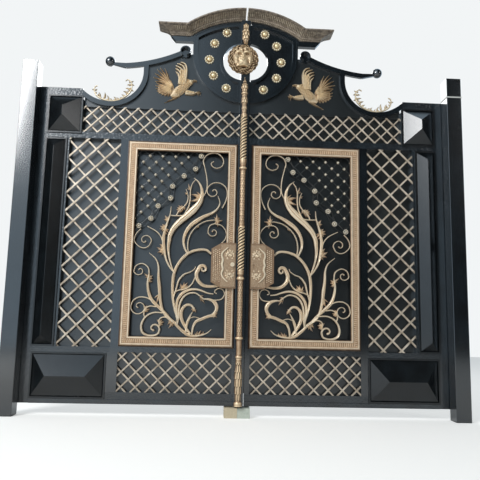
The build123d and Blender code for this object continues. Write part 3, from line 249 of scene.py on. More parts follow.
# Cast stone: matt, with sandy grains of two tones and open pores that break the light. Both are drawn coarser
# than real sand, which is too fine to show in the render.
stone, tree, shader = new_material("cast stone", metallic=0.0, roughness=0.82)
place = add_node(tree, "ShaderNodeTexCoord").outputs["Object"]
across = add_node(tree, "ShaderNodeSeparateXYZ", None, {0: place})
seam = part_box("stop_blocks")[0][0] + left_block_width / 1000
on_right = add_node(tree, "ShaderNodeMath", {"operation": "GREATER_THAN"}, {0: across.outputs["X"], 1: seam})
grain = add_node(tree, "ShaderNodeTexNoise", None,
                 {"Vector": place, "Scale": 1000 / stone_grain, "Detail": 6})
cream = add_node(tree, "ShaderNodeMix", {"data_type": "RGBA"},
                 {0: grain.outputs[0], 6: linear("#b8aa8c"), 7: linear("#d9cdb2")})
wash = add_node(tree, "ShaderNodeMix", {"data_type": "RGBA"},
                {0: grain.outputs[0], 6: linear("#a9b3a4"), 7: linear("#d3d9cd")})
block_colour = add_node(tree, "ShaderNodeMix", {"data_type": "RGBA"},
                        {0: on_right.outputs[0], 6: cream.outputs[2], 7: wash.outputs[2]})
tree.links.new(block_colour.outputs[2], shader.inputs["Base Color"])
pores = add_node(tree, "ShaderNodeTexNoise", None,
                 {"Vector": place, "Scale": 1000 / stone_pores, "Detail": 5})
relief = add_node(tree, "ShaderNodeBump", None,
                  {"Height": pores.outputs[0], "Distance": stone_pore_depth / 1000, "Strength": 1.0})
tree.links.new(relief.outputs[0], shader.inputs["Normal"])
wear(stone, "stop_blocks")

# Leaf frames
# Square steel tube, welded at the corners. The outer stiles and the rails carry a hammered texture under the
# same dark enamel as the posts.
dimple_pitch = 17
dimple_depth = 2.2

# Hammered enamel: dimples under a clear gloss, which break the light into small soft dots. Real ones are about
# 6 mm across, too fine to show in the render, so they are drawn 17 mm apart.
hammered = painted("hammered dark gloss enamel", ("#11161a", "#20292f"), patch=(120, 3, 0.35, 0.7),
                   metallic=0.0, roughness=0.27, coat=(1.0, 1.7, 0.15))
tree = hammered.node_tree
place = add_node(tree, "ShaderNodeTexCoord")
dimples = add_node(tree, "ShaderNodeTexVoronoi", {"feature": "SMOOTH_F1"},
                   {"Vector": place.outputs["Object"], "Scale": 1000 / dimple_pitch, "Smoothness": 0.6})
relief = add_node(tree, "ShaderNodeBump", None,
                  {"Height": dimples.outputs[0], "Distance": dimple_depth / 1000, "Strength": 1.0})
tree.links.new(relief.outputs[0], tree.nodes["Principled BSDF"].inputs["Normal"])
for side in ("left", "right"):
    wear(hammered, f"{side}_outer_stiles", f"{side}_lower_rails", f"{side}_upper_rails")

# Sheets
# Flat steel sheet behind the open fields and under the crest, welded to the back of the tubes and painted a
# satin slate grey.

# Satin enamel on rolled sheet: long faint clouds, and waves of the sheet itself that bend what it mirrors.
slate = painted("satin slate enamel on rolled sheet", ("#16191a", "#262a2b"), patch=(420, 4, 0.3, 0.7),
                metallic=0.1, roughness=0.3, coat=(1.0, 1.7, 0.2), peel=(260, 2, 0.9))
wear(slate, "left_sheets", "right_sheets")

# Hipped panels
# Sheet folded to a low hip over a flat rim, welded at its corners and sprayed glossy black. Three stand on each
# leaf's outer edge.

# Black gloss enamel: deep and even, with a faint smear of dust, so that each fold catches its own light.
panel_enamel = painted("sprayed black gloss enamel", ("#0b0e10", "#14191c"), patch=(90, 3, 0.35, 0.7),
                       metallic=0.0, roughness=0.26, coat=(0.6, 1.5, 0.2), peel=(60, 2, 0.35))
wear(panel_enamel, "left_panels", "right_panels")

# Lattices
# Thin square steel bars, crossed in diamonds and welded where they cross. They fill the top, side and bottom
# fields of each leaf.

# Champagne enamel put on by brush: a soft sheen, a little browner in patches. The brush marks are drawn 6 mm
# wide, because real ones of 1 mm are too fine to show in the render.
champagne = painted("brushed on champagne enamel", ("#a3937f", "#e7dac7"), patch=(45, 3, 0.3, 0.75),
                    metallic=0.25, roughness=0.42, peel=(6, 2, 0.25))
wear(champagne, "left_lattices", "right_lattices")

# Gold frames
# A rolled steel moulding mitred into a frame round each leaf's scrollwork, with two lips and a field of small
# punched beads, painted copper gold and rubbed back so that the hollows stay brown.
sign_of = {"left": -1, "right": 1}
gate_middle = (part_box("left_post")[0][0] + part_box("right_post")[1][0]) / 2
leaf_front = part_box("left_outer_stiles")[0][1]
dome_profile = ((1, 0), (0.92, 0.45), (0.6, 0.85), (0.18, 1))
bead_profile = ((1, 0), (0.75, 0.7), (0.2, 1))
bead_corners = 6
grain_shift = 0.5
grain_depth = 0.5


def at(side, across, depth, up):
    """Place on a leaf from millimetres off the gate's middle, behind its front and above the ground."""
    return Vector((gate_middle + sign_of[side] * across / 1000, leaf_front + depth / 1000, up / 1000))


def around(centre, turn, reach, rise=None):
    """Place at this turn on a circle round a centre, or on an oval that has a rise of its own."""
    return (centre[0] + reach * math.cos(turn), centre[1] + (rise or reach) * math.sin(turn))


def new_shape():
    """Empty shape that places and faces are added to. Its rub is how bright single places are made."""
    return {"places": [], "faces": [], "rub": {}}


def add_skin(shape, rings):
    """Join rings of places, each with as many, into a closed skin."""
    first = len(shape["places"])
    count = len(rings[0])
    for ring in rings:
        shape["places"] += ring
    for step in range(len(rings) - 1):
        for corner in range(count):
            here = first + step * count + corner
            beside = first + step * count + (corner + 1) % count
            shape["faces"].append((here, beside, beside + count, here + count))
    last = first + (len(rings) - 1) * count
    for end in (first, last):
        shape["faces"].append(tuple(range(end, end + count)))


def add_dome(shape, side, centre, reach, back, front, corners=8, profile=dome_profile):
    """Add a dome on the leaf's face, from its back depth to its front depth."""
    across, up = centre
    turns = [math.tau * (corner + 0.5) / corners for corner in range(corners)]
    add_skin(shape, [[at(side, across + reach * share * math.cos(turn), back + (front - back) * rise,
                         up + reach * share * math.sin(turn)) for turn in turns] for share, rise in profile])


def build(name, shape, body, material, crease=38, replaced=()):
    """Turn a shape into a smooth piece that rides on a body, in place of the CAD nodes that it replaces.

    Edges sharper than the crease in degrees stay sharp. Each place notes how far it stands out from its
    neighbours, which is where the paint is rubbed bright, and on some pieces where a highlight is painted.
    """
    mesh = bpy.data.meshes.new(name)
    mesh.from_pydata([tuple(place) for place in shape["places"]], [], shape["faces"])
    skin = bmesh.new()
    skin.from_mesh(mesh)
    bmesh.ops.recalc_face_normals(skin, faces=skin.faces)
    skin.normal_update()
    crown = skin.verts.layers.float.new("crown")
    for spot in skin.verts:
        beside = [edge.other_vert(spot).co for edge in spot.link_edges]
        middle = sum(beside, Vector()) / len(beside)
        reach = sum((place - spot.co).length for place in beside) / len(beside)
        spot[crown] = shape["rub"].get(spot.index, spot.normal.dot(spot.co - middle) / max(reach, 1e-6))
    skin.to_mesh(mesh)
    skin.free()
    mesh.shade_smooth()
    mesh.set_sharp_from_angle(angle=math.radians(crease))
    mesh.materials.append(material)
    piece = bpy.data.objects.new(name, mesh)
    bpy.context.collection.objects.link(piece)
    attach(piece, body)
    if replaced:
        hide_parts(*replaced)


def gilt(name, shades, depths, roughness, metallic, grain, rub=0.7):
    """Gilt paint rubbed back, in shades for the hollows, the body and the crowns.

    The shades go from the back depth to the front depth. Spots of the grain in millimetres shift them, and so
    does the rub, by how far a place stands out. Dark hollows and bright crowns are patina and rubbing, and on
    some pieces painted shade and painted highlight too. The same grain roughens the surface a little.
    """
    material, tree, shader = new_material(name, metallic, roughness)
    place = add_node(tree, "ShaderNodeTexCoord").outputs["Object"]
    depth = add_node(tree, "ShaderNodeSeparateXYZ", None, {0: place})
    back, front = (leaf_front + millimetres / 1000 for millimetres in depths)
    rise = add_node(tree, "ShaderNodeMapRange", None, {0: depth.outputs["Y"], 1: back, 2: front})
    spots = add_node(tree, "ShaderNodeTexNoise", None, {"Vector": place, "Scale": 1000 / grain, "Detail": 4})
    shift = add_node(tree, "ShaderNodeMath", {"operation": "MULTIPLY_ADD"},
                     {0: spots.outputs[0], 1: grain_shift, 2: -grain_shift / 2})
    rubbed = add_node(tree, "ShaderNodeMath", {"operation": "ADD", "use_clamp": True},
                      {0: rise.outputs[0], 1: shift.outputs[0]})
    crown_of = add_node(tree, "ShaderNodeAttribute", {"attribute_name": "crown"})
    rubbed = add_node(tree, "ShaderNodeMath", {"operation": "MULTIPLY_ADD", "use_clamp": True},
                      {0: crown_of.outputs["Fac"], 1: rub, 2: rubbed.outputs[0]})
    ramp = add_node(tree, "ShaderNodeValToRGB", None, {0: rubbed.outputs[0]})
    hollow, body, crown = (linear(shade) for shade in shades)
    ramp.color_ramp.elements[0].color = hollow
    ramp.color_ramp.elements[1].color = crown
    ramp.color_ramp.elements.new(0.5).color = body
    tree.links.new(ramp.outputs[0], shader.inputs["Base Color"])
    relief = add_node(tree, "ShaderNodeBump", None,
                      {"Height": spots.outputs[0], "Distance": grain_depth / 1000, "Strength": 1.0})
    tree.links.new(relief.outputs[0], shader.inputs["Normal"])
    return material


# Copper gold paint on steel: warm and half metallic, bright on lips and beads, brown where the rag missed.
copper_gold = gilt("rubbed copper gold paint", ("#6b5342", "#c9a887", "#eedbc0"), depths=(-17, -27),
                   roughness=0.4, metallic=0.4, grain=34)
frame_bead = 5
frame_bead_pitch = 15.5
frame_bead_back = -19
frame_bead_front = -26.5
frame_bead_rows = (36, 45, 54)
for side in ("left", "right"):
    wear(copper_gold, f"{side}_gold_frame")
    low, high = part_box(f"{side}_gold_frame")
    near, far = sorted(abs(place - gate_middle) * 1000 for place in (low[0], high[0]))
    bottom, top = low[2] * 1000, high[2] * 1000
    beads = new_shape()
    for row, inset in enumerate(frame_bead_rows):
        corners = ((near + inset, bottom + inset), (far - inset, bottom + inset),
                   (far - inset, top - inset), (near + inset, top - inset))
        for start, end in zip(corners, corners[1:] + corners[:1]):
            count = round(math.dist(start, end) / frame_bead_pitch)
            for step in range(count):
                share = (step + 0.5 * (row % 2)) / count
                centre = (start[0] + (end[0] - start[0]) * share, start[1] + (end[1] - start[1]) * share)
                add_dome(beads, side, centre, frame_bead, frame_bead_back, frame_bead_front, bead_corners,
                         bead_profile)
    build(f"{side}_frame_beads", beads, f"{side}_leaf", copper_gold)

# Scrollwork
# Forged steel bars and leaves in one pattern, welded inside the gold frame clear of the sheet: round-backed
# bars that taper into curls, wide leaves with a groove down the middle, and small pointed leaves.
gold_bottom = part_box("left_gold_frame")[0][2] * 1000
gold_edge_of = {side: min(abs(place[0] - gate_middle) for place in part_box(f"{side}_gold_frame")) * 1000
                for side in sign_of}
scroll_front = -14
scroll_back = 6
curl_step = 30
groove_fade = 8
groove_share = 0.34
full_crown = 10
leaf_outline = ((0, 0.45), (0.15, 0.78), (0.35, 1), (0.6, 0.86), (0.82, 0.5), (1, 0.06))

# Rose gold paint: pinker and paler than the frame's, with a painted highlight along each bar's back and
# painted shade down its sides.
rose_gold = gilt("rubbed rose gold paint with painted highlight and shade", ("#5c4536", "#c9a788", "#ead8bc"), depths=(4, -9),
                 roughness=0.38, metallic=0.4, grain=26)


def smooth_line(places, spacing):
    """Places closely along the smooth line through these places."""
    ends = [tuple(2 * a - b for a, b in zip(places[0], places[1]))] + list(places)
    ends.append(tuple(2 * a - b for a, b in zip(places[-1], places[-2])))
    line = []
    for before, here, ahead, after in zip(ends, ends[1:], ends[2:], ends[3:]):
        count = max(2, round(math.dist(here, ahead) / spacing))
        for step in range(count):
            t = step / count
            line.append(tuple(
                0.5 * (2 * b + (c - a) * t + (2 * a - 5 * b + 4 * c - d) * t**2
                       + (3 * b - a - 3 * c + d) * t**3)
                for a, b, c, d in zip(before, here, ahead, after)))
    return line + [tuple(places[-1])]


def curl_places(start, curl):
    """Places of a bar's closing curl: its centre, last radius, turn in degrees, and how late it closes."""
    centre, last_r, turn, power = curl
    first_r = math.dist(start, centre)
    first_turn = math.atan2(start[1] - centre[1], start[0] - centre[0])
    count = round(abs(turn) / curl_step)
    places = []
    for step in range(1, count + 1):
        share = step / count
        radius = first_r + (last_r - first_r) * share**power
        angle = first_turn + math.radians(turn) * share
        places.append(around(centre, angle, radius))
    return places


def add_bar(shape, side, line, widths, back, front, groove_from=16, round_share=0.5):
    """Add a bar along a close line on the leaf's face, its widths spread evenly along it.

    Bars wider than groove_from have a groove down the middle. Thin bars stand lower by their round_share.
    """
    rings = []
    last = len(line) - 1
    for index, (across, up) in enumerate(line):
        ahead = line[min(index + 1, last)]
        behind = line[max(index - 1, 0)]
        run = math.dist(ahead, behind) or 1
        aside = (-(ahead[1] - behind[1]) / run, (ahead[0] - behind[0]) / run)
        spot = index / last * (len(widths) - 1)
        below = min(int(spot), len(widths) - 2)
        width = widths[below] + (widths[below + 1] - widths[below]) * (spot - below)
        groove = min(max((width - groove_from) / groove_fade, 0), 1)
        crown = (1 - round_share) + round_share * min(width / full_crown, 1)
        profile = ((-1, 0), (-1, 0.5 * crown), (-0.68, 0.88 * crown), (-0.35, crown),
                   (0, crown * (1 - groove_share * groove)), (0.35, crown), (0.68, 0.88 * crown),
                   (1, 0.5 * crown), (1, 0))
        rings.append([at(side, across + aside[0] * reach * width / 2, back + (front - back) * rise,
                         up + aside[1] * reach * width / 2) for reach, rise in profile])
    add_skin(shape, rings)


def add_blade(shape, side, base, tip, width, back, front, bend=0.0):
    """Add a pointed leaf with a sharp rib, bent aside by a share of its length."""
    rings = []
    along = (tip[0] - base[0], tip[1] - base[1])
    length = math.hypot(*along) or 1
    aside = (-along[1] / length, along[0] / length)
    for share, breadth in leaf_outline:
        swing = bend * length * 4 * share * (1 - share)
        middle = (base[0] + along[0] * share + aside[0] * swing,
                  base[1] + along[1] * share + aside[1] * swing)
        half = breadth * width / 2
        peak = 0.55 + 0.45 * math.sin(math.pi * min(share + 0.15, 1))
        profile = ((-1, 0), (-0.9, 0.35 * peak), (-0.45, 0.62 * peak), (0, peak), (0.45, 0.62 * peak),
                   (0.9, 0.35 * peak), (1, 0))
        rings.append([at(side, middle[0] + aside[0] * reach * half, back + (front - back) * rise,
                         middle[1] + aside[1] * reach * half) for reach, rise in profile])
    add_skin(shape, rings)


# Bars: widths at the start, middle and end, places in millimetres from the frame's closing edge and bottom, and
# the closing curl
scroll_bars = (
    # Bracket
    ((14, 24, 8), ((134, 468), (196, 462), (247, 471), (285, 506), (298, 553),
     (281, 599)), ((249, 593), 9, 360, 1.0)),
    # Arch
    ((12, 18, 14), ((438, 176), (432, 215), (451, 278), (469, 363), (476, 463),
     (466, 563), (427, 648), (366, 711), (297, 739), (230, 741), (190, 713)), None),
    # Inner leaf stem
    ((9, 12, 5), ((467, 363), (446, 443), (430, 503), (393, 548), (349, 567),
     (318, 589), (306, 611)), None),
    # Lower leaf stem
    ((9, 11, 7), ((464, 408), (430, 427), (390, 436), (356, 453), (328, 481),
     (312, 518), (306, 541)), None),
    # Over arc
    ((12, 17, 9), ((436, 172), (430, 220), (440, 283), (434, 353), (400, 405),
     (351, 432), (301, 438), (252, 427), (208, 411), (165, 406)), None),
    # Small volute
    ((9, 9, 8), ((183, 360), (141, 360), (102, 369), (80, 406), (94, 439),
     (124, 449), (151, 434), (155, 416), (140, 411)), None),
    # Under arc
    ((11, 13, 9), ((430, 168), (423, 215), (422, 278), (413, 333), (389, 378),
     (351, 405), (306, 410), (269, 391), (239, 366)), None),
    # Hook
    ((9, 24, 16), ((239, 366), (198, 364), (161, 349), (137, 313), (143, 275),
     (168, 246)), None),
    # Hook leaf
    ((18, 18, 11), ((147, 245), (193, 238), (242, 218), (289, 195), (310, 155),
     (318, 98)), None),
    # Leaf two
    ((13, 16, 6), ((362, 118), (358, 173), (343, 218), (319, 267)), None),
    # Link two
    ((8, 8, 7), ((340, 218), (301, 230), (259, 218)), None),
    # Leaf curl
    ((13, 21, 12), ((330, 102), (379, 171), (403, 231), (397, 285), (367, 317),
     (332, 317), (304, 287)), None),
    # Root
    ((5, 19, 15), ((172, 140), (206, 111), (267, 91), (342, 93), (405, 137),
     (456, 188), (511, 227)), None),
    # Feather
    ((13, 20, 4), ((464, 191), (511, 227), (546, 283), (565, 363), (574, 443),
     (584, 523), (588, 603), (610, 660), (663, 706)), None),
    # Second stem
    ((13, 20, 11), ((469, 195), (523, 253), (582, 305), (629, 353), (655, 413),
     (664, 483), (655, 548)), None),
    # Top curl
    ((10, 8, 7), ((655, 543), (666, 595), (712, 623), (756, 606), (771, 566)), ((730, 571), 8, -290, 1.2)),
    # Middle curl
    ((10, 9, 7), ((624, 346), (673, 367), (724, 368), (765, 343), (781, 298)), ((723, 296), 8, -400, 1.5)),
    # Middle link
    ((9, 10, 9), ((590, 299), (641, 303), (672, 281), (682, 245), (673, 218)), None),
    # Great curl
    ((9, 14, 10), ((523, 253), (600, 257), (653, 235), (688, 193), (698, 145),
     (685, 106), (649, 86), (612, 84), (574, 96), (561, 125)), ((602, 136), 12, -260, 1.0)),
    # Curl leaf stem
    ((10, 10, 8), ((508, 223), (541, 222), (564, 205), (565, 175), (559, 155)), None),
    # Tall leaf
    ((9, 19, 5), ((464, 555), (503, 603), (533, 661), (549, 728), (559, 803),
     (555, 863), (541, 925), (525, 975), (514, 1018), (510, 1070)), None),
    # Great leaf stem
    ((9, 12, 22), ((469, 558), (494, 623), (511, 685), (519, 748), (515, 813)), None),
    # Great leaf
    ((22, 40, 4), ((516, 808), (508, 855), (482, 908), (439, 958), (390, 1003),
     (338, 1053), (295, 1108), (276, 1163), (280, 1221), (304, 1271), (340, 1303)), None),
    # Great leaf vein
    ((9, 10, 6), ((411, 1003), (377, 1071), (366, 1133), (366, 1203), (355, 1255),
     (328, 1293)), None),
    # Great leaf side
    ((9, 9, 5), ((466, 1003), (448, 1041), (408, 1078), (385, 1121), (385, 1171),
     (401, 1213)), None),
    # Leaf tie
    ((9, 9, 9), ((521, 1003), (474, 1000), (417, 1003)), None),
    # Shoulder leaf
    ((11, 24, 4), ((371, 703), (399, 763), (405, 818), (390, 875), (356, 928),
     (306, 969), (252, 1003), (198, 1028), (155, 1063), (135, 1111), (151, 1167)), None),
    # Shoulder vein
    ((9, 9, 8), ((366, 713), (372, 771), (366, 825), (346, 875), (309, 921),
     (257, 957), (203, 973), (151, 975)), None),
    # Lock curl
    ((9, 8, 8), ((126, 778), (110, 800), (88, 825), (77, 865), (92, 908), (125, 941)), None),
    # Lower spiral
    ((9, 8, 7), ((122, 938), (176, 945), (210, 925), (220, 885)), ((180, 883), 8, -330, 1.2)),
    # Upper spiral
    ((9, 8, 7), ((115, 1071), (88, 1133), (79, 1198), (100, 1246), (145, 1271),
     (194, 1266), (230, 1235), (235, 1198)), ((188, 1201), 8, -300, 1.2)),
    # Riser
    ((8, 9, 7), ((269, 1153), (243, 1203), (238, 1263), (245, 1323), (257, 1375),
     (270, 1429)), None),
    # Top spiral
    ((8, 8, 7), ((270, 1413), (272, 1451), (251, 1488), (208, 1509), (159, 1504),
     (125, 1475), (115, 1436), (129, 1404), (165, 1388), (201, 1401), (211, 1427),
     (192, 1443)), None),
    # Corner arc
    ((8, 9, 6), ((562, 788), (580, 835), (617, 875), (685, 911)), None),
    # Corner curl
    ((8, 8, 7), ((734, 890), (765, 855), (781, 803), (752, 761), (710, 743),
     (671, 757), (651, 797)), ((698, 801), 8, -300, 1.2)),
)

# Small pointed leaves: base, tip and width
scroll_leaves = (
    ((661, 518), (629, 535), 12), ((661, 508), (626, 511), 12), ((661, 498), (629, 488), 12),
    ((653, 523), (695, 551), 11), ((676, 275), (641, 281), 12), ((676, 268), (649, 263), 11),
    ((679, 285), (661, 308), 12), ((564, 175), (528, 188), 13), ((564, 183), (543, 208), 12),
    ((562, 168), (535, 165), 12), ((562, 188), (584, 203), 12), ((392, 440), (364, 488), 13),
    ((394, 438), (390, 491), 13), ((397, 438), (417, 481), 11), ((390, 440), (361, 468), 12),
    ((309, 288), (292, 263), 12), ((314, 291), (299, 305), 11), ((318, 298), (316, 263), 9),
    ((168, 246), (129, 265), 15), ((168, 246), (132, 231), 13), ((543, 713), (602, 713), 13),
    ((555, 728), (607, 753), 15), ((558, 748), (587, 778), 12), ((267, 391), (230, 355), 9),
    ((252, 375), (228, 333), 8), ((466, 186), (494, 141), 12), ((474, 197), (502, 165), 10),
    ((577, 393), (594, 325), 13), ((242, 93), (230, 125), 9), ((267, 91), (249, 131), 10),
    ((287, 91), (277, 125), 9), ((439, 1058), (469, 1013), 14), ((442, 1053), (464, 1068), 14),
    ((420, 1063), (454, 1083), 14), ((408, 1078), (430, 1033), 12), ((284, 1150), (366, 1118), 16),
    ((284, 1156), (364, 1172), 14), ((366, 1206), (383, 1258), 9), ((390, 1173), (410, 1188), 8),
    ((528, 968), (555, 1003), 13), ((533, 963), (564, 968), 12), ((551, 905), (590, 918), 13),
    ((553, 888), (594, 893), 12), ((549, 912), (574, 935), 11), ((542, 897), (519, 863), 10),
    ((553, 863), (531, 853), 9), ((160, 975), (107, 977), 12), ((158, 974), (145, 923), 13),
    ((158, 974), (157, 1025), 11), ((297, 931), (311, 908), 9), ((454, 308), (464, 323), 8),
)

# Bars are forged fuller than those widths, all but the thin ones. Each leaf has a smaller one on either side.
bar_fullness = 1.32
thin_bar = 8
stout_bar = 14
curl_ball_share = 0.9
leaf_fullness = 1.5
leaf_bend = 0.06
side_leaf_turn = 38
side_leaf_share = 0.66
for side in ("left", "right"):
    near = gold_edge_of[side]
    bars = new_shape()
    for widths, places, curl in scroll_bars:
        stoutness = [min(max((width - thin_bar) / (stout_bar - thin_bar), 0), 1) for width in widths]
        widths = [width * (1 + (bar_fullness - 1) * stout) for width, stout in zip(widths, stoutness)]
        whole = list(places) + (curl_places(places[-1], curl) if curl else [])
        line = [(near + across, gold_bottom + up) for across, up in smooth_line(whole, 8)]
        add_bar(bars, side, line, widths, scroll_back, scroll_front)
        if curl:
            add_dome(bars, side, line[-1], widths[2] * curl_ball_share, scroll_back, scroll_front)
    for index, (base, tip, width) in enumerate(scroll_leaves):
        root = (near + base[0], gold_bottom + base[1])
        length = math.dist(base, tip)
        heading = math.atan2(tip[1] - base[1], tip[0] - base[0])
        for swing, share in ((0, 1), (side_leaf_turn, side_leaf_share), (-side_leaf_turn, side_leaf_share)):
            turn = heading + math.radians(swing)
            point = around(root, turn, length * share)
            add_blade(bars, side, root, point, width * leaf_fullness * share, scroll_back, scroll_front,
                      leaf_bend * (-1)**index)
    build(f"{side}_scroll_bars", bars, f"{side}_leaf", rose_gold,
          replaced=(f"{side}_scrollwork",))

# Bud lattices
# Thin dark rods crossed in two layers behind the upper outer corner of the frame, a pale cast stud on each
# crossing, and along the edge eight small rosebuds between two bent wires.
rosebuds = ((290, 1486), (332, 1381), (420, 1321), (506, 1236), (518, 1142), (612, 1076), (663, 977),
            (753, 916))
rosebud_petals = 9
rosebud_petal = 6.4
rosebud_petal_front = 0
rosebud_ring = 16
rosebud_cup = 14
rosebud_cup_front = 10
rosebud_cup_corners = 10
rosebud_heart = 7.5
rosebud_heart_front = -4
rosebud_wire = 21
inner_wire_ends = ((258, 1538), (812, 851))
outer_wire_ends = ((298, 1538), (812, 905))
bud_rod = 5
bud_rod_step = 6
bud_rod_reach = 1600
bud_rod_overhang = 60
bud_back = 17
bud_pitch = 100
bud_crossing = (742, 1424)
bud_field = (812, 1538)
bud_rows = 14
stud_reach = 13
stud_heart = 6
stud_heart_front = 1
stud_back = 12
stud_front = 4
stud_clearance = 20

# Dark enamel on round rod: nearly black, glossy, with brown dust in patches.
rod_paint = painted("sprayed dark rod enamel", ("#1c1f20", "#3d3c38"), patch=(60, 3, 0.3, 0.7),
                    metallic=0.1, roughness=0.32, coat=(1.0, 1.8, 0.03))

# Pale gold castings: nearly cream on their crowns, so that each stud and bud shows as a light dot.
pale_cast = gilt("rubbed pale gold on castings", ("#5e5040", "#cdbb9c", "#f5efe0"), depths=(15, 0),
                 roughness=0.4, metallic=0.35, grain=14)


def wire_places(ends, aside):
    """Places of an edging wire that passes every rosebud at this distance."""
    places = [ends[0]]
    for index, (across, up) in enumerate(rosebuds):
        before = rosebuds[max(index - 1, 0)]
        after = rosebuds[min(index + 1, len(rosebuds) - 1)]
        run = math.dist(before, after)
        places.append((across - (after[1] - before[1]) / run * aside,
                       up + (after[0] - before[0]) / run * aside))
    return places + [ends[1]]


def wire_across(wire, up):
    """How far from the closing edge a wire runs at this height."""
    for (near, high), (far, low) in zip(wire, wire[1:]):
        if low <= up <= high:
            return near + (far - near) * (high - up) / (high - low)
    return bud_field[0]


inner_wire = wire_places(inner_wire_ends, -rosebud_wire)
outer_wire = wire_places(outer_wire_ends, rosebud_wire)
lowest_rod = outer_wire_ends[1][1] - bud_rod_overhang
for side in ("left", "right"):
    near = gold_edge_of[side]
    rods = new_shape()
    for lean, back in ((1, bud_back), (-1, bud_back - bud_rod)):
        for row in range(-bud_rows, bud_rows + 1):
            run = []
            for along in range(-bud_rod_reach, bud_rod_reach, bud_rod_step):
                across = bud_crossing[0] + row * bud_pitch + along
                up = bud_crossing[1] + lean * along
                inside = across < bud_field[0] and lowest_rod < up < bud_field[1]
                if inside and across > wire_across(inner_wire, up):
                    run.append((near + across, gold_bottom + up))
            if len(run) > 1:
                add_bar(rods, side, [run[0], run[-1]], (bud_rod, bud_rod), back, back - bud_rod)
    for wire in (inner_wire, outer_wire):
        line = [(near + across, gold_bottom + up) for across, up in smooth_line(wire, 10)]
        add_bar(rods, side, line, (bud_rod, bud_rod), bud_back, bud_back - 2 * bud_rod)
    build(f"{side}_bud_rods", rods, f"{side}_leaf", rod_paint,
          replaced=(f"{side}_bud_lattice",))
    buds = new_shape()
    for across, up in rosebuds:
        middle = (near + across, gold_bottom + up)
        for petal in range(rosebud_petals):
            turn = math.tau * petal / rosebud_petals
            place = around(middle, turn, rosebud_ring)
            add_dome(buds, side, place, rosebud_petal, bud_back, rosebud_petal_front, bead_corners)
        add_dome(buds, side, middle, rosebud_cup, bud_back, rosebud_cup_front, rosebud_cup_corners)
        add_dome(buds, side, middle, rosebud_heart, rosebud_cup_front + 1, rosebud_heart_front)
    for column in range(-bud_rows, bud_rows + 1):
        for row in range(-bud_rows, bud_rows + 1):
            across = bud_crossing[0] + column * bud_pitch / 2
            up = bud_crossing[1] + row * bud_pitch / 2
            in_field = across < bud_field[0] and up < bud_field[1]
            if (column + row) % 2 == 0 and in_field and across > wire_across(outer_wire, up) + stud_clearance:
                middle = (near + across, gold_bottom + up)
                for quarter in range(4):
                    tip = around(middle, math.tau * quarter / 4, stud_reach)
                    add_blade(buds, side, middle, tip, stud_reach, stud_back, stud_front)
                add_dome(buds, side, middle, stud_heart, stud_back, stud_heart_front, bead_corners)
    build(f"{side}_studs_and_rosebuds", buds, f"{side}_leaf", pale_cast)

# Lock boxes
# A folded steel case over each lock, welded to the gold frame: an embossed plate with two curls in rays of
# small leaves, a strip of punched dots, and on the left leaf a pale turned knob.
lock_near_of = {side: min(abs(place[0] - gate_middle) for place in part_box(f"{side}_lock_box")) * 1000
                for side in sign_of}
lock_plate_front = -54
lock_relief_front = -60
lock_curl_across = 46
lock_curl_heights = ((1200, 1), (1050, -1))
lock_curl_widths = (7, 6, 5)
lock_curl_start = (27, 6)
lock_curl_last_r = 5
lock_curl_turn = 420
lock_curl_power = 0.8
lock_curl_ball = 8
lock_rays = 9
lock_ray_roots = (25, 26)
lock_ray_tips = (40, 44)
lock_ray_width = 12
lock_ray_spread = 36
lock_knob = (27, 1125)
lock_knob_reach = 16
lock_knob_profile = ((0.6, 0), (0.6, 0.25), (1, 0.45), (0.96, 0.75), (0.6, 0.95), (0.15, 1))
lock_knob_corners = 20
lock_dot = 4.5
lock_dot_pitch = 15
lock_dots_from = {"left": (124, 4), "right": (128, 3)}
lock_dots_bottom = 998
lock_dots_top = 1240
lock_strip_front = -50
lock_dot_front = -54

# The frame's copper gold paint, with painted shade in the relief's hollows and a painted highlight on its
# crowns, so that it reads at a distance.
lock_gold = gilt("rubbed copper gold paint on relief", ("#755c47", "#a98b6e", "#f4e2c4"), depths=(-44, -62),
                 roughness=0.4, metallic=0.45, grain=10, rub=1.2)
wear(lock_gold, "left_lock_box", "right_lock_box")
knob = new_shape()
add_dome(knob, "left", (lock_near_of["left"] + lock_knob[0], lock_knob[1]), lock_knob_reach, lock_plate_front,
         lock_plate_front - lock_knob_reach, lock_knob_corners, lock_knob_profile)
build("left_lock_knob", knob, "left_leaf", pale_cast)
for side in ("left", "right"):
    near = lock_near_of[side]
    relief = new_shape()
    for centre_up, turn in lock_curl_heights:
        centre = (near + lock_curl_across, centre_up)
        for flip in (1, -1):
            first = (centre[0] + flip * lock_curl_start[0], centre[1] - turn * lock_curl_start[1])
            curl = curl_places(first, (centre, lock_curl_last_r, flip * turn * lock_curl_turn, lock_curl_power))
            add_bar(relief, side, smooth_line([first] + curl, 4), lock_curl_widths, lock_plate_front,
                    lock_relief_front)
        add_dome(relief, side, centre, lock_curl_ball, lock_plate_front, lock_relief_front - 1)
        for ray in range(lock_rays):
            angle = math.radians(90 * turn + lock_ray_spread * (ray - lock_rays // 2))
            root = around(centre, angle, *lock_ray_roots)
            tip = around(centre, angle, *lock_ray_tips)
            add_blade(relief, side, root, tip, lock_ray_width, lock_plate_front, lock_relief_front)
    dots_from, columns = lock_dots_from[side]
    for column in range(columns):
        across = near + dots_from + lock_dot_pitch * column
        up = lock_dots_bottom + lock_dot_pitch / 2 * (column % 2)
        while up < lock_dots_top:
            add_dome(relief, side, (across, up), lock_dot, lock_strip_front, lock_dot_front, bead_corners,
                     bead_profile)
            up += lock_dot_pitch
    build(f"{side}_lock_relief", relief, f"{side}_leaf", lock_gold)

# Crest rails
# Steel bar bent along the crescent and the swan neck, with a hollow ball at its outer end and a rolled volute
# at its inner end, all under the posts' dark gloss enamel.
wear(enamel, "left_crest_rails", "right_crest_rails")

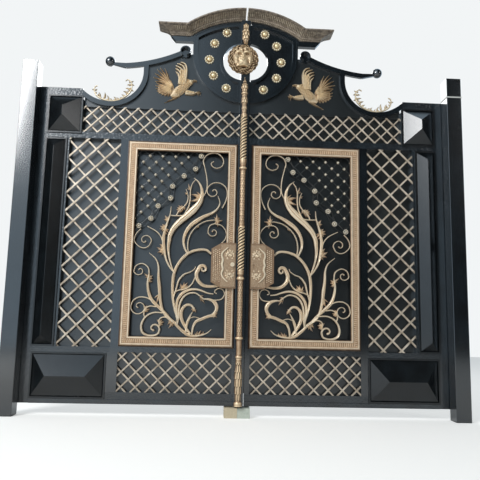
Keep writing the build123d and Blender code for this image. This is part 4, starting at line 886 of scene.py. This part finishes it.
# Rosettes
# Five rosettes stamped from sheet and fixed on the face of each half of the round crest: a smooth dome on a
# flat rim, in a ring of twelve round petals.
rosette_ring = (292, 279)
rosette_ring_middle = (0, 2793)
rosette_angles = (-59, -29, 0, 30, 58)
rosette_back = 17
rosette_rim = 29
rosette_rim_front = 13
rosette_rim_profile = ((1, 0), (0.98, 0.7), (0.8, 1), (0.3, 1))
rosette_dome = 22
rosette_dome_back = 14
rosette_dome_front = -8
rosette_dome_profile = ((1, 0), (0.97, 0.3), (0.82, 0.65), (0.5, 0.92), (0.12, 1))
rosette_petals = 12
rosette_petal = 8.4
rosette_petal_ring = 31
rosette_petal_front = 5
rosette_corners = 24

# Antique gold on the stampings: a warm dome with a painted highlight on its crown, and painted shade round
# its foot and on the rim between the petals.
pale_gold = gilt("antique gold on stampings with painted highlight and shade", ("#54412a", "#c19c6c", "#f0dcae"), depths=(14, -4),
                 roughness=0.34, metallic=0.5, grain=18)

# Cream gold on the petals: less metal and more paint, so that the ring stays pale at every angle.
petal_cream = gilt("rubbed cream gold on stampings", ("#6b583e", "#dbcaa4", "#f6ecd2"), depths=(15, 4),
                   roughness=0.4, metallic=0.35, grain=18)
for side in ("left", "right"):
    stamped = new_shape()
    petals = new_shape()
    for angle in rosette_angles:
        turn = math.radians(angle)
        middle = around(rosette_ring_middle, turn, *rosette_ring)
        add_dome(stamped, side, middle, rosette_rim, rosette_back, rosette_rim_front, rosette_corners,
                 rosette_rim_profile)
        for petal in range(rosette_petals):
            spot = math.tau * petal / rosette_petals
            place = around(middle, spot, rosette_petal_ring)
            add_dome(petals, side, place, rosette_petal, rosette_back, rosette_petal_front)
        add_dome(stamped, side, middle, rosette_dome, rosette_dome_back, rosette_dome_front, rosette_corners,
                 rosette_dome_profile)
    build(f"{side}_stamped_rosettes", stamped, f"{side}_leaf", pale_gold,
          replaced=(f"{side}_rosettes",))
    build(f"{side}_rosette_petals", petals, f"{side}_leaf", petal_cream)

# Cornice
# A sheet moulding bent over the round crest and carried out level as a wing on each side, rows of small beads
# pressed along it.
cornice_front = -20
cornice_throw = 93
arch_r = 750
arch_centre_height = 2372
wing_inner = 450
wing_end = 607
wing_margin = 4
cornice_bead_sink = 3
cornice_bead_stand = 3.5

# Rows of beads from the back to the front: how far forward and how far above the arch each runs, and the reach
# of its beads
cornice_rows = ((2, 5, 4), (9, 18, 4.4), (22, 29, 4.4), (33, 33.5, 4.2), (44, 37.5, 4.8), (57, 41, 4.2),
                (70, 44, 4.4), (79, 51, 4.2), (87, 57, 4))
cornice_bead_pitch = 15
cornice_bead_profile = ((1, 0), (0.8, 0.7), (0.25, 1))
cornice_start_of = {"left": 12, "right": 14}

# Antique bronze paint: mottled brown and grey, and lumpy as thick brushed paint is.
bronze = painted("brushed on antique bronze paint", ("#6c6157", "#a89a89"), patch=(24, 5, 0.32, 0.68),
                 metallic=0.45, roughness=0.42, peel=(14, 4, 0.9))
wear(bronze, "left_cornice", "right_cornice")

# The same paint rubbed off the beads: paler and smoother, so that each row shows as a dotted line.
bead_bronze = painted("rubbed antique bronze paint", ("#a99b88", "#e8dac2"), patch=(40, 4, 0.35, 0.65),
                      metallic=0.5, roughness=0.38)
for side in ("left", "right"):
    beads = new_shape()
    for throw, rise, reach in cornice_rows:
        radius = arch_r + rise
        wing_height = arch_centre_height + math.sqrt(arch_r**2 - wing_inner**2) + rise
        first = math.asin(cornice_start_of[side] / radius)
        last = math.acos((wing_height - arch_centre_height) / radius)
        count = round((last - first) * radius / cornice_bead_pitch)
        places = []
        for step in range(count + 1):
            turn = first + (last - first) * step / count
            places.append((radius * math.sin(turn), arch_centre_height + radius * math.cos(turn)))
        wing_from = radius * math.sin(last)
        wing_to = wing_end - (cornice_throw - throw) - wing_margin
        count = round((wing_to - wing_from) / cornice_bead_pitch)
        places += [(wing_from + (wing_to - wing_from) * step / count, wing_height)
                   for step in range(1, count + 1)]
        depth = cornice_front - throw
        for place in places:
            add_dome(beads, side, place, reach, depth + cornice_bead_sink, depth - cornice_bead_stand,
                     bead_corners, cornice_bead_profile)
    build(f"{side}_cornice_beads", beads, f"{side}_leaf", bead_bronze)

# Eagles
# A cast eagle fixed to each crest sheet, diving towards the middle: one wing raised with its feather tips
# turned back, the other spread in a fan, claws forward and the tail trailing.
eagle_back = 25
far_fan_root = (612, 2570)
far_fan_tips = ((647, 2702), (686, 2708), (710, 2692), (727, 2658), (736, 2622), (722, 2590))
near_fan_root = (590, 2530)
near_fan_tips = ((712, 2580), (718, 2556), (715, 2530), (704, 2508), (688, 2490), (666, 2477), (642, 2469),
                 (616, 2466), (594, 2470))
fan_line = ((570, 2528), (640, 2528), (694, 2534))
fan_widths = (60, 104, 62)
raised_quills = (((482, 2572), (474, 2640), (472, 2704), (488, 2742), (524, 2757)),
                 ((494, 2572), (488, 2640), (487, 2690), (504, 2724), (548, 2744)),
                 ((507, 2572), (502, 2634), (503, 2676), (520, 2704), (561, 2724)),
                 ((519, 2572), (516, 2628), (519, 2660), (534, 2684), (563, 2702)),
                 ((531, 2572), (529, 2620), (534, 2646), (544, 2662), (560, 2679)))
quill_widths = (15, 17, 17, 13, 4)
body_line = ((424, 2596), (448, 2586), (486, 2556), (522, 2522), (556, 2492), (588, 2468))
body_widths = (30, 46, 70, 78, 66, 24)
body_start = (440, 2590)
body_along = (0.743, -0.669)
body_feather = 6.3
body_feather_profile = ((1, 0), (0.75, 0.75), (0.2, 1))
leg_line = ((474, 2506), (438, 2498), (408, 2498), (384, 2508))
leg_widths = (40, 25, 11)
ankle = (390, 2506)
claws = (((362, 2530), 0.25), ((350, 2512), 0.2), ((354, 2488), -0.25), ((374, 2478), -0.25))
tail_root = (520, 2474)
tail_tips = (((640, 2412), 17), ((622, 2424), 13), ((600, 2436), 12))
no_groove = 999

# Antique gold rubbed back hard: pale on each feather's rib and dark brown between the feathers.
eagle_gold = gilt("rubbed antique gold on the eagles", ("#5f4c38", "#b69a78", "#e4d0ae"), depths=(21, -2),
                  roughness=0.42, metallic=0.42, grain=14, rub=1.5)
for side in ("left", "right"):
    cast = new_shape()

    # Spread wing: long quills, the wing itself and two rows of shorter feathers over them
    for tip in far_fan_tips:
        add_blade(cast, side, far_fan_root, tip, width=22, back=eagle_back, front=5, bend=0.05)
    add_bar(cast, side, smooth_line(fan_line, 8), fan_widths, back=eagle_back, front=15, groove_from=no_groove)
    for layer, tip in enumerate(near_fan_tips):
        front = 4 - layer % 2 * 3
        add_blade(cast, side, near_fan_root, tip, width=27, back=eagle_back, front=front, bend=-0.03)
    for step in range(9):
        turn = math.radians(78 - 20 * step)
        root = around((590, 2556), turn, 8)
        tip = around((600, 2556), turn, 66, 62)
        add_blade(cast, side, root, tip, width=24, back=eagle_back - 4, front=3, bend=0.05)
    for step in range(6):
        tip = around((586, 2556), math.radians(60 - 26 * step), 42, 40)
        add_blade(cast, side, (578, 2556), tip, width=20, back=18, front=-2, bend=0.08)

    # Raised wing: five quills with short feathers at their foot
    for order, quill in enumerate(raised_quills):
        front = -4 + 1.5 * order
        add_bar(cast, side, smooth_line(quill, 6), quill_widths, eagle_back, front, no_groove)
    for row in range(4):
        for column in range(4):
            base = (484 + 12 * column, 2572 + 30 * row + 10 * (column % 2))
            tip = (base[0] - 3, base[1] + 36)
            add_blade(cast, side, base, tip, width=14, back=8, front=-8, bend=0.05)

    # Body under small round feathers
    add_bar(cast, side, smooth_line(body_line, 6), body_widths, back=eagle_back, front=6, groove_from=no_groove)
    for row in range(10):
        for column in (-2, -1, 0, 1, 2):
            aside = 13.5 * column * (0.6 + 0.4 * math.sin(math.pi * (row + 1) / 11))
            lag = 15 * row + 7 * (column % 2)
            base = (body_start[0] + body_along[0] * lag - body_along[1] * aside,
                    body_start[1] + body_along[1] * lag + body_along[0] * aside)
            add_dome(cast, side, base, body_feather, 9, -8 + 2 * abs(column), bead_corners,
                     body_feather_profile)

    # Head, upper and lower beak, brow and eye
    add_dome(cast, side, (436, 2594), reach=20, back=eagle_back, front=-6, corners=14)
    add_blade(cast, side, (430, 2600), (386, 2604), width=21, back=eagle_back, front=-5, bend=-0.14)
    add_blade(cast, side, (398, 2608), (391, 2592), width=8, back=18, front=0, bend=-0.2)
    add_blade(cast, side, (446, 2608), (478, 2606), width=13, back=18, front=-7, bend=0.1)
    add_dome(cast, side, (424, 2600), reach=3.2, back=-5, front=-8, corners=6)

    # Feathered leg, claws and tail
    add_bar(cast, side, smooth_line(leg_line, 6), leg_widths, back=eagle_back, front=2, groove_from=no_groove)
    for row in range(4):
        base = (404 + 15 * row, 2499 + 3 * row)
        for root_rise, tip_rise in ((6, 8), (-5, -6)):
            root = (base[0], base[1] + root_rise)
            add_blade(cast, side, root, (base[0] + 22, base[1] + tip_rise), width=13, back=2, front=-7)
    for tip, bend in claws:
        add_blade(cast, side, ankle, tip, width=9, back=eagle_back, front=-4, bend=bend)
    for tip, width in tail_tips:
        add_blade(cast, side, tail_root, tip, width, back=eagle_back, front=8)
    build(f"{side}_cast_eagle", cast, f"{side}_leaf", eagle_gold,
          replaced=(f"{side}_eagle",))

# Leaf sprays
# A cast garland of serrated leaves lies in each crescent, fixed along the rail, with both ends curled up and
# larger leaves pointing inwards.
spray_back = 20
spray_front = 8
spray_widths = (7, 16, 7)
spray_line = ((955, 2580), (936, 2592), (912, 2574), (903, 2537), (909, 2500), (930, 2468), (958, 2444),
              (1000, 2420), (1050, 2409), (1095, 2411), (1145, 2427), (1180, 2452), (1197, 2492),
              (1190, 2522), (1172, 2530))
spray_leaves = (
    ((905, 2560), (884, 2545), 14), ((912, 2574), (892, 2584), 12), ((908, 2515), (886, 2497), 14),
    ((906, 2545), (942, 2547), 14), ((910, 2505), (952, 2520), 16), ((928, 2472), (970, 2493), 18),
    ((955, 2446), (982, 2466), 14), ((1120, 2418), (1113, 2480), 18), ((1080, 2411), (1096, 2456), 14),
    ((1150, 2430), (1160, 2478), 16), ((1196, 2490), (1216, 2500), 12), ((1020, 2414), (1042, 2446), 14),
)
serration_width = 13
serration_reaches = (24, 15)
serration_lead = 12

# The eagles' antique gold, a little paler because the thin leaves are rubbed on both edges.
spray_gold = gilt("rubbed antique gold on the sprays", ("#625040", "#c9b18d", "#f0e0c2"), depths=(19, 8),
                  roughness=0.4, metallic=0.42, grain=18)
for side in ("left", "right"):
    garland = new_shape()
    line = smooth_line(spray_line, 7)
    add_bar(garland, side, line, spray_widths, spray_back, spray_front, groove_from=12)
    for index in range(6, len(line) - 5, 4):
        ahead = (line[index + 1][0] - line[index][0], line[index + 1][1] - line[index][1])
        run = math.hypot(*ahead)
        inward = (-ahead[1] / run, ahead[0] / run)
        reach = serration_reaches[0 if index % 8 < 4 else 1]
        tip = (line[index][0] + inward[0] * reach + ahead[0] / run * serration_lead,
               line[index][1] + inward[1] * reach + ahead[1] / run * serration_lead)
        add_blade(garland, side, line[index], tip, serration_width, spray_back, spray_front, bend=0.15)
    for base, tip, width in spray_leaves:
        add_blade(garland, side, base, tip, width, spray_back, spray_front, bend=0.12)
    build(f"{side}_cast_spray", garland, f"{side}_leaf", spray_gold,
          replaced=(f"{side}_leaf_spray",))

# Pole
# A tube dressed to look like a twisted rope between turned rings, closed by an acanthus bud at its head and a
# leafy finial over the lion. It is welded to the dark centre bar of the left leaf.
pole_across = 5
pole_axis_depth = -70
bar_face = -44

# Outlines of the turned parts, upwards: radius and height
pole_foot = ((30, 87), (30, 108), (22, 125), (27, 200), (30, 300), (23, 385), (20, 425), (26, 440), (20, 455),
             (20, 560), (29, 577), (20, 594), (20, 1000), (29, 1020), (20, 1040), (24, 1060), (24, 1079))
pole_middle = ((24, 1410), (20, 1428), (20, 1858), (29, 1874), (20, 1890), (24, 1928), (24, 1944))
pole_head = ((24, 2292), (24, 2306), (17, 2318), (22, 2370), (17, 2384), (25, 2412), (24, 2440), (18, 2465),
             (26, 2480), (20, 2494), (28, 2538), (14, 2578), (3, 2612))
finial = ((16, 2903), (27, 2935), (31, 2970), (31, 3002), (23, 3032), (27, 3052), (6, 3072))

# The rope's strands wind once round in a pitch. Finer strands are too thin to show in the render.
rope_r = 25
rope_strands = 3
rope_pitch = 72
rope_hollow = 0.36
rope_corners = 48
# How far the strands are brightened and the grooves darkened, partly as painted shade
rope_patina_and_shade_strength = 1.6

# Antique brass paint: bright on the strands and the leaves' edges, and nearly black in the grooves between
# them, which is patina with painted shade.
brass = gilt("rubbed antique brass paint with painted groove shade", ("#22170f", "#99795c", "#ecd2ac"), depths=(-66, -106),
             roughness=0.42, metallic=0.3, grain=30, rub=2.2)


def heights_between(low, high, step):
    """Evenly spaced heights from low to high."""
    count = round((high - low) / step)
    return [low + (high - low) * index / count for index in range(count + 1)]


def add_turned(shape, low, high, step, radius_at, corners=32, rub_at=None):
    """Add a turned length of the pole, its radius and its rub worked out from the turn and the height."""
    rings = []
    for up in heights_between(low, high, step):
        ring = []
        for corner in range(corners):
            turn = math.tau * corner / corners
            if rub_at:
                shape["rub"][len(shape["places"]) + len(rings) * corners + corner] = rub_at(turn, up)
            radius = radius_at(turn, up)
            depth = min(pole_axis_depth + radius * math.sin(turn), bar_face)
            ring.append(at("left", pole_across - radius * math.cos(turn), depth, up))
        rings.append(ring)
    add_skin(shape, rings)


def outline_radius(outline, up):
    """Radius of a turned outline at this height."""
    for (first, low), (second, high) in zip(outline, outline[1:]):
        if up <= high:
            share = (up - low) / (high - low)
            return first + (second - first) * (0.5 - 0.5 * math.cos(math.pi * share))
    return outline[-1][0]


def leafy(outline, count, depth, low, high, pitch):
    """Turned outline with rows of so many raised leaves round it, between two heights."""
    def radius_at(turn, up):
        radius = outline_radius(outline, up)
        if low < up < high:
            row = (up - low) / pitch
            leaf = abs(math.sin(count / 2 * turn + math.pi / 2 * (int(row) % 2)))
            radius -= depth * (1 - leaf**0.6) + depth * 0.7 * (row % 1)**2
        return max(radius, 2)
    return radius_at


def strand_rise(turn, up):
    """How high the rope's strands stand here, from 0 between two strands to 1 on a strand's back."""
    return abs(math.cos(rope_strands / 2 * (turn - math.tau * up / rope_pitch)))**1.4


def rope_radius(turn, up):
    """Radius of the rope."""
    return rope_r * (1 - rope_hollow + rope_hollow * strand_rise(turn, up))


def rope_patina_and_shade(turn, up):
    """Shift of the rope's colour: bright on the strands, dark between them as patina and painted shade."""
    return rope_patina_and_shade_strength * (strand_rise(turn, up) - 0.5)


# From the ground up: leafy foot, scaled tube, rope, scaled tube with a ring, rope, acanthus bud, the bud's tip
# and the finial over the lion
dressed = new_shape()
add_turned(dressed, 87, 425, 6, leafy(pole_foot, count=8, depth=4.5, low=125, high=400, pitch=52))
add_turned(dressed, 425, 1079, 5, leafy(pole_foot, count=8, depth=1.8, low=604, high=990, pitch=20))
add_turned(dressed, 1079, 1410, 4, rope_radius, rope_corners, rope_patina_and_shade)
add_turned(dressed, 1410, 1944, 5, leafy(pole_middle, count=8, depth=1.8, low=1440, high=1850, pitch=20))
add_turned(dressed, 1944, 2292, 4, rope_radius, rope_corners, rope_patina_and_shade)
add_turned(dressed, 2292, 2465, 3, leafy(pole_head, count=10, depth=5, low=2325, high=2460, pitch=26), 48)
add_turned(dressed, 2465, 2612, 3, leafy(pole_head, count=6, depth=9, low=2496, high=2608, pitch=26), 48)
add_turned(dressed, 2903, 3072, 3, leafy(finial, count=6, depth=11, low=2906, high=3068, pitch=30), 48)
build("left_dressed_pole", dressed, "left_leaf", brass, crease=50,
      replaced=("centre_pole",))

# Closing strip
# No light shows between the bar and the right leaf in the photo, so a narrow strip of dark enamelled steel is
# taken to stand on the right leaf's edge, just clear of the bar: below the round opening and above it.
strip_width = 5
strip_back = 31
strip_front = 12
strip_shift = 1.5
strip_runs = ((170, 2618), (2934, 3108))
strip_step = 200
bar_edge = abs(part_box("centre_bar")[1][0] - gate_middle) * 1000
leaf_edge = abs(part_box("right_disc")[0][0] - gate_middle) * 1000
strip_line = (bar_edge + leaf_edge) / 2 + strip_shift
strip = new_shape()
for low, high in strip_runs:
    add_bar(strip, "right", [(strip_line, up) for up in heights_between(low, high, strip_step)],
            (strip_width, strip_width), strip_back, strip_front, no_groove, round_share=0)
build("right_closing_strip", strip, "right_leaf", enamel)

# Lion
# A cast lion's head in a ring of mane locks, fixed to the bar in the round opening, its mouth open under a
# broad muzzle.
lion_across = 22
lion_height = 2775
lion_r = 126
lion_corners = 132
lion_rings = 36
lion_back = 113.4
lion_edge = 5
lion_tufts = 19
face_half_width = 80
face_half_height = 96
face_drop = 6
face_rise = 16
mane_from = 70
lion_boldness = 1.08
lion_least, lion_most = 6, 89

# Forms of the face, those off its middle in pairs: across, up, how wide, how tall, and how high each swells or,
# below nothing, how deep it is cut
lion_forms = (
    (0, -40, 32, 24, 15),  # muzzle
    (0, -26, 19, 11, 14),  # nose
    (20, -54, 17, 12, 9),  # lips
    (0, -68, 24, 6, 5),  # lip's edge
    (0, -79, 27, 6, -30),  # mouth
    (0, -97, 24, 9, 9),  # chin
    (0, 12, 13, 34, 9),  # bridge of the nose
    (32, 46, 20, 8, 13),  # brows
    (31, 27, 15, 8, -17),  # eye hollows
    (31, 25, 6, 5, 9),  # eyes
    (0, 58, 6, 20, -9),  # furrow of the forehead
    (56, -12, 16, 24, 8),  # cheeks
    (40, -34, 7, 20, -8),  # furrows beside the muzzle
    (64, 66, 15, 12, 12),  # ears
    (9, -30, 4, 4, -9),  # nostrils
    (16, 74, 8, 14, 7),  # tufts of the forelock
)

# Antique gold rubbed back hard: warm on the brows, the muzzle and the locks, brown in the furrows.
lion_gold = gilt("rubbed antique gold on the lion", ("#5e4733", "#ad906f", "#dfc9a4"), depths=(-54, -112),
                 roughness=0.4, metallic=0.45, grain=14, rub=1.5)


def lion_rise(across, up):
    """How far the lion stands off the bar's face at a place from its middle."""
    reach = math.hypot(across, up)
    turn = math.atan2(up, across)
    rise = 12 + 20 * min(max((lion_r - reach) / 52, 0), 1)**0.7

    # Three waves that don't keep step make the locks irregular.
    locks = math.sin(11 * turn + 0.16 * reach + 2.2 * math.sin(3 * turn))
    locks += 0.8 * math.sin(23 * turn - 0.3 * reach + 1.7 * math.sin(5 * turn + 1))
    locks += 0.8 * math.sin(0.38 * reach + 3.1 * math.sin(7 * turn))
    rise += 4.6 * locks * min(max((reach - mane_from) / 16, 0.16), 1)
    face = (across / face_half_width)**2 + ((up + face_drop) / face_half_height)**2
    if face < 1:
        rise += face_rise * math.sqrt(1 - face)
    for form_across, form_up, wide, tall, height in lion_forms:
        for middle in sorted({-form_across, form_across}):
            rise += height * math.exp(-((across - middle) / wide)**2 - ((up - form_up) / tall)**2)
    return min(max(lion_boldness * rise, lion_least), lion_most)


mask = new_shape()
turns = [math.tau * corner / lion_corners for corner in range(lion_corners)]
rings = [[at("left", lion_across - lion_back * math.cos(turn), bar_face,
             lion_height + lion_back * math.sin(turn)) for turn in turns]]
for step in range(lion_rings):
    ring = []
    for turn in turns:
        edge = lion_r * (0.955 + 0.045 * abs(math.cos(lion_tufts / 2 * turn)))
        reach = edge * (1 - step / lion_rings)
        across, up = reach * math.cos(turn), reach * math.sin(turn)
        rise = lion_rise(across, up) if step else lion_edge
        ring.append(at("left", lion_across - across, bar_face - rise, lion_height + up))
    rings.append(ring)
add_skin(mask, rings)
build("left_cast_lion", mask, "left_leaf", lion_gold, crease=60,
      replaced=("lion_head",))

# Hinges
# Lift-off barrel hinges turned from steel, three to a leaf, welded to the backs of the posts and of the outer
# stiles, where the posts hide them.

# Turned steel left bare: grey and half dull, with rust starting in small brown spots.
turned_steel = painted("bare turned steel", ("#6a6c6e", "#7a5a44"), patch=(12, 5, 0.5, 0.75),
                       metallic=0.85, roughness=0.48)
wear(turned_steel, "left_leaf_hinges", "right_leaf_hinges", "left_post_hinges", "right_post_hinges")
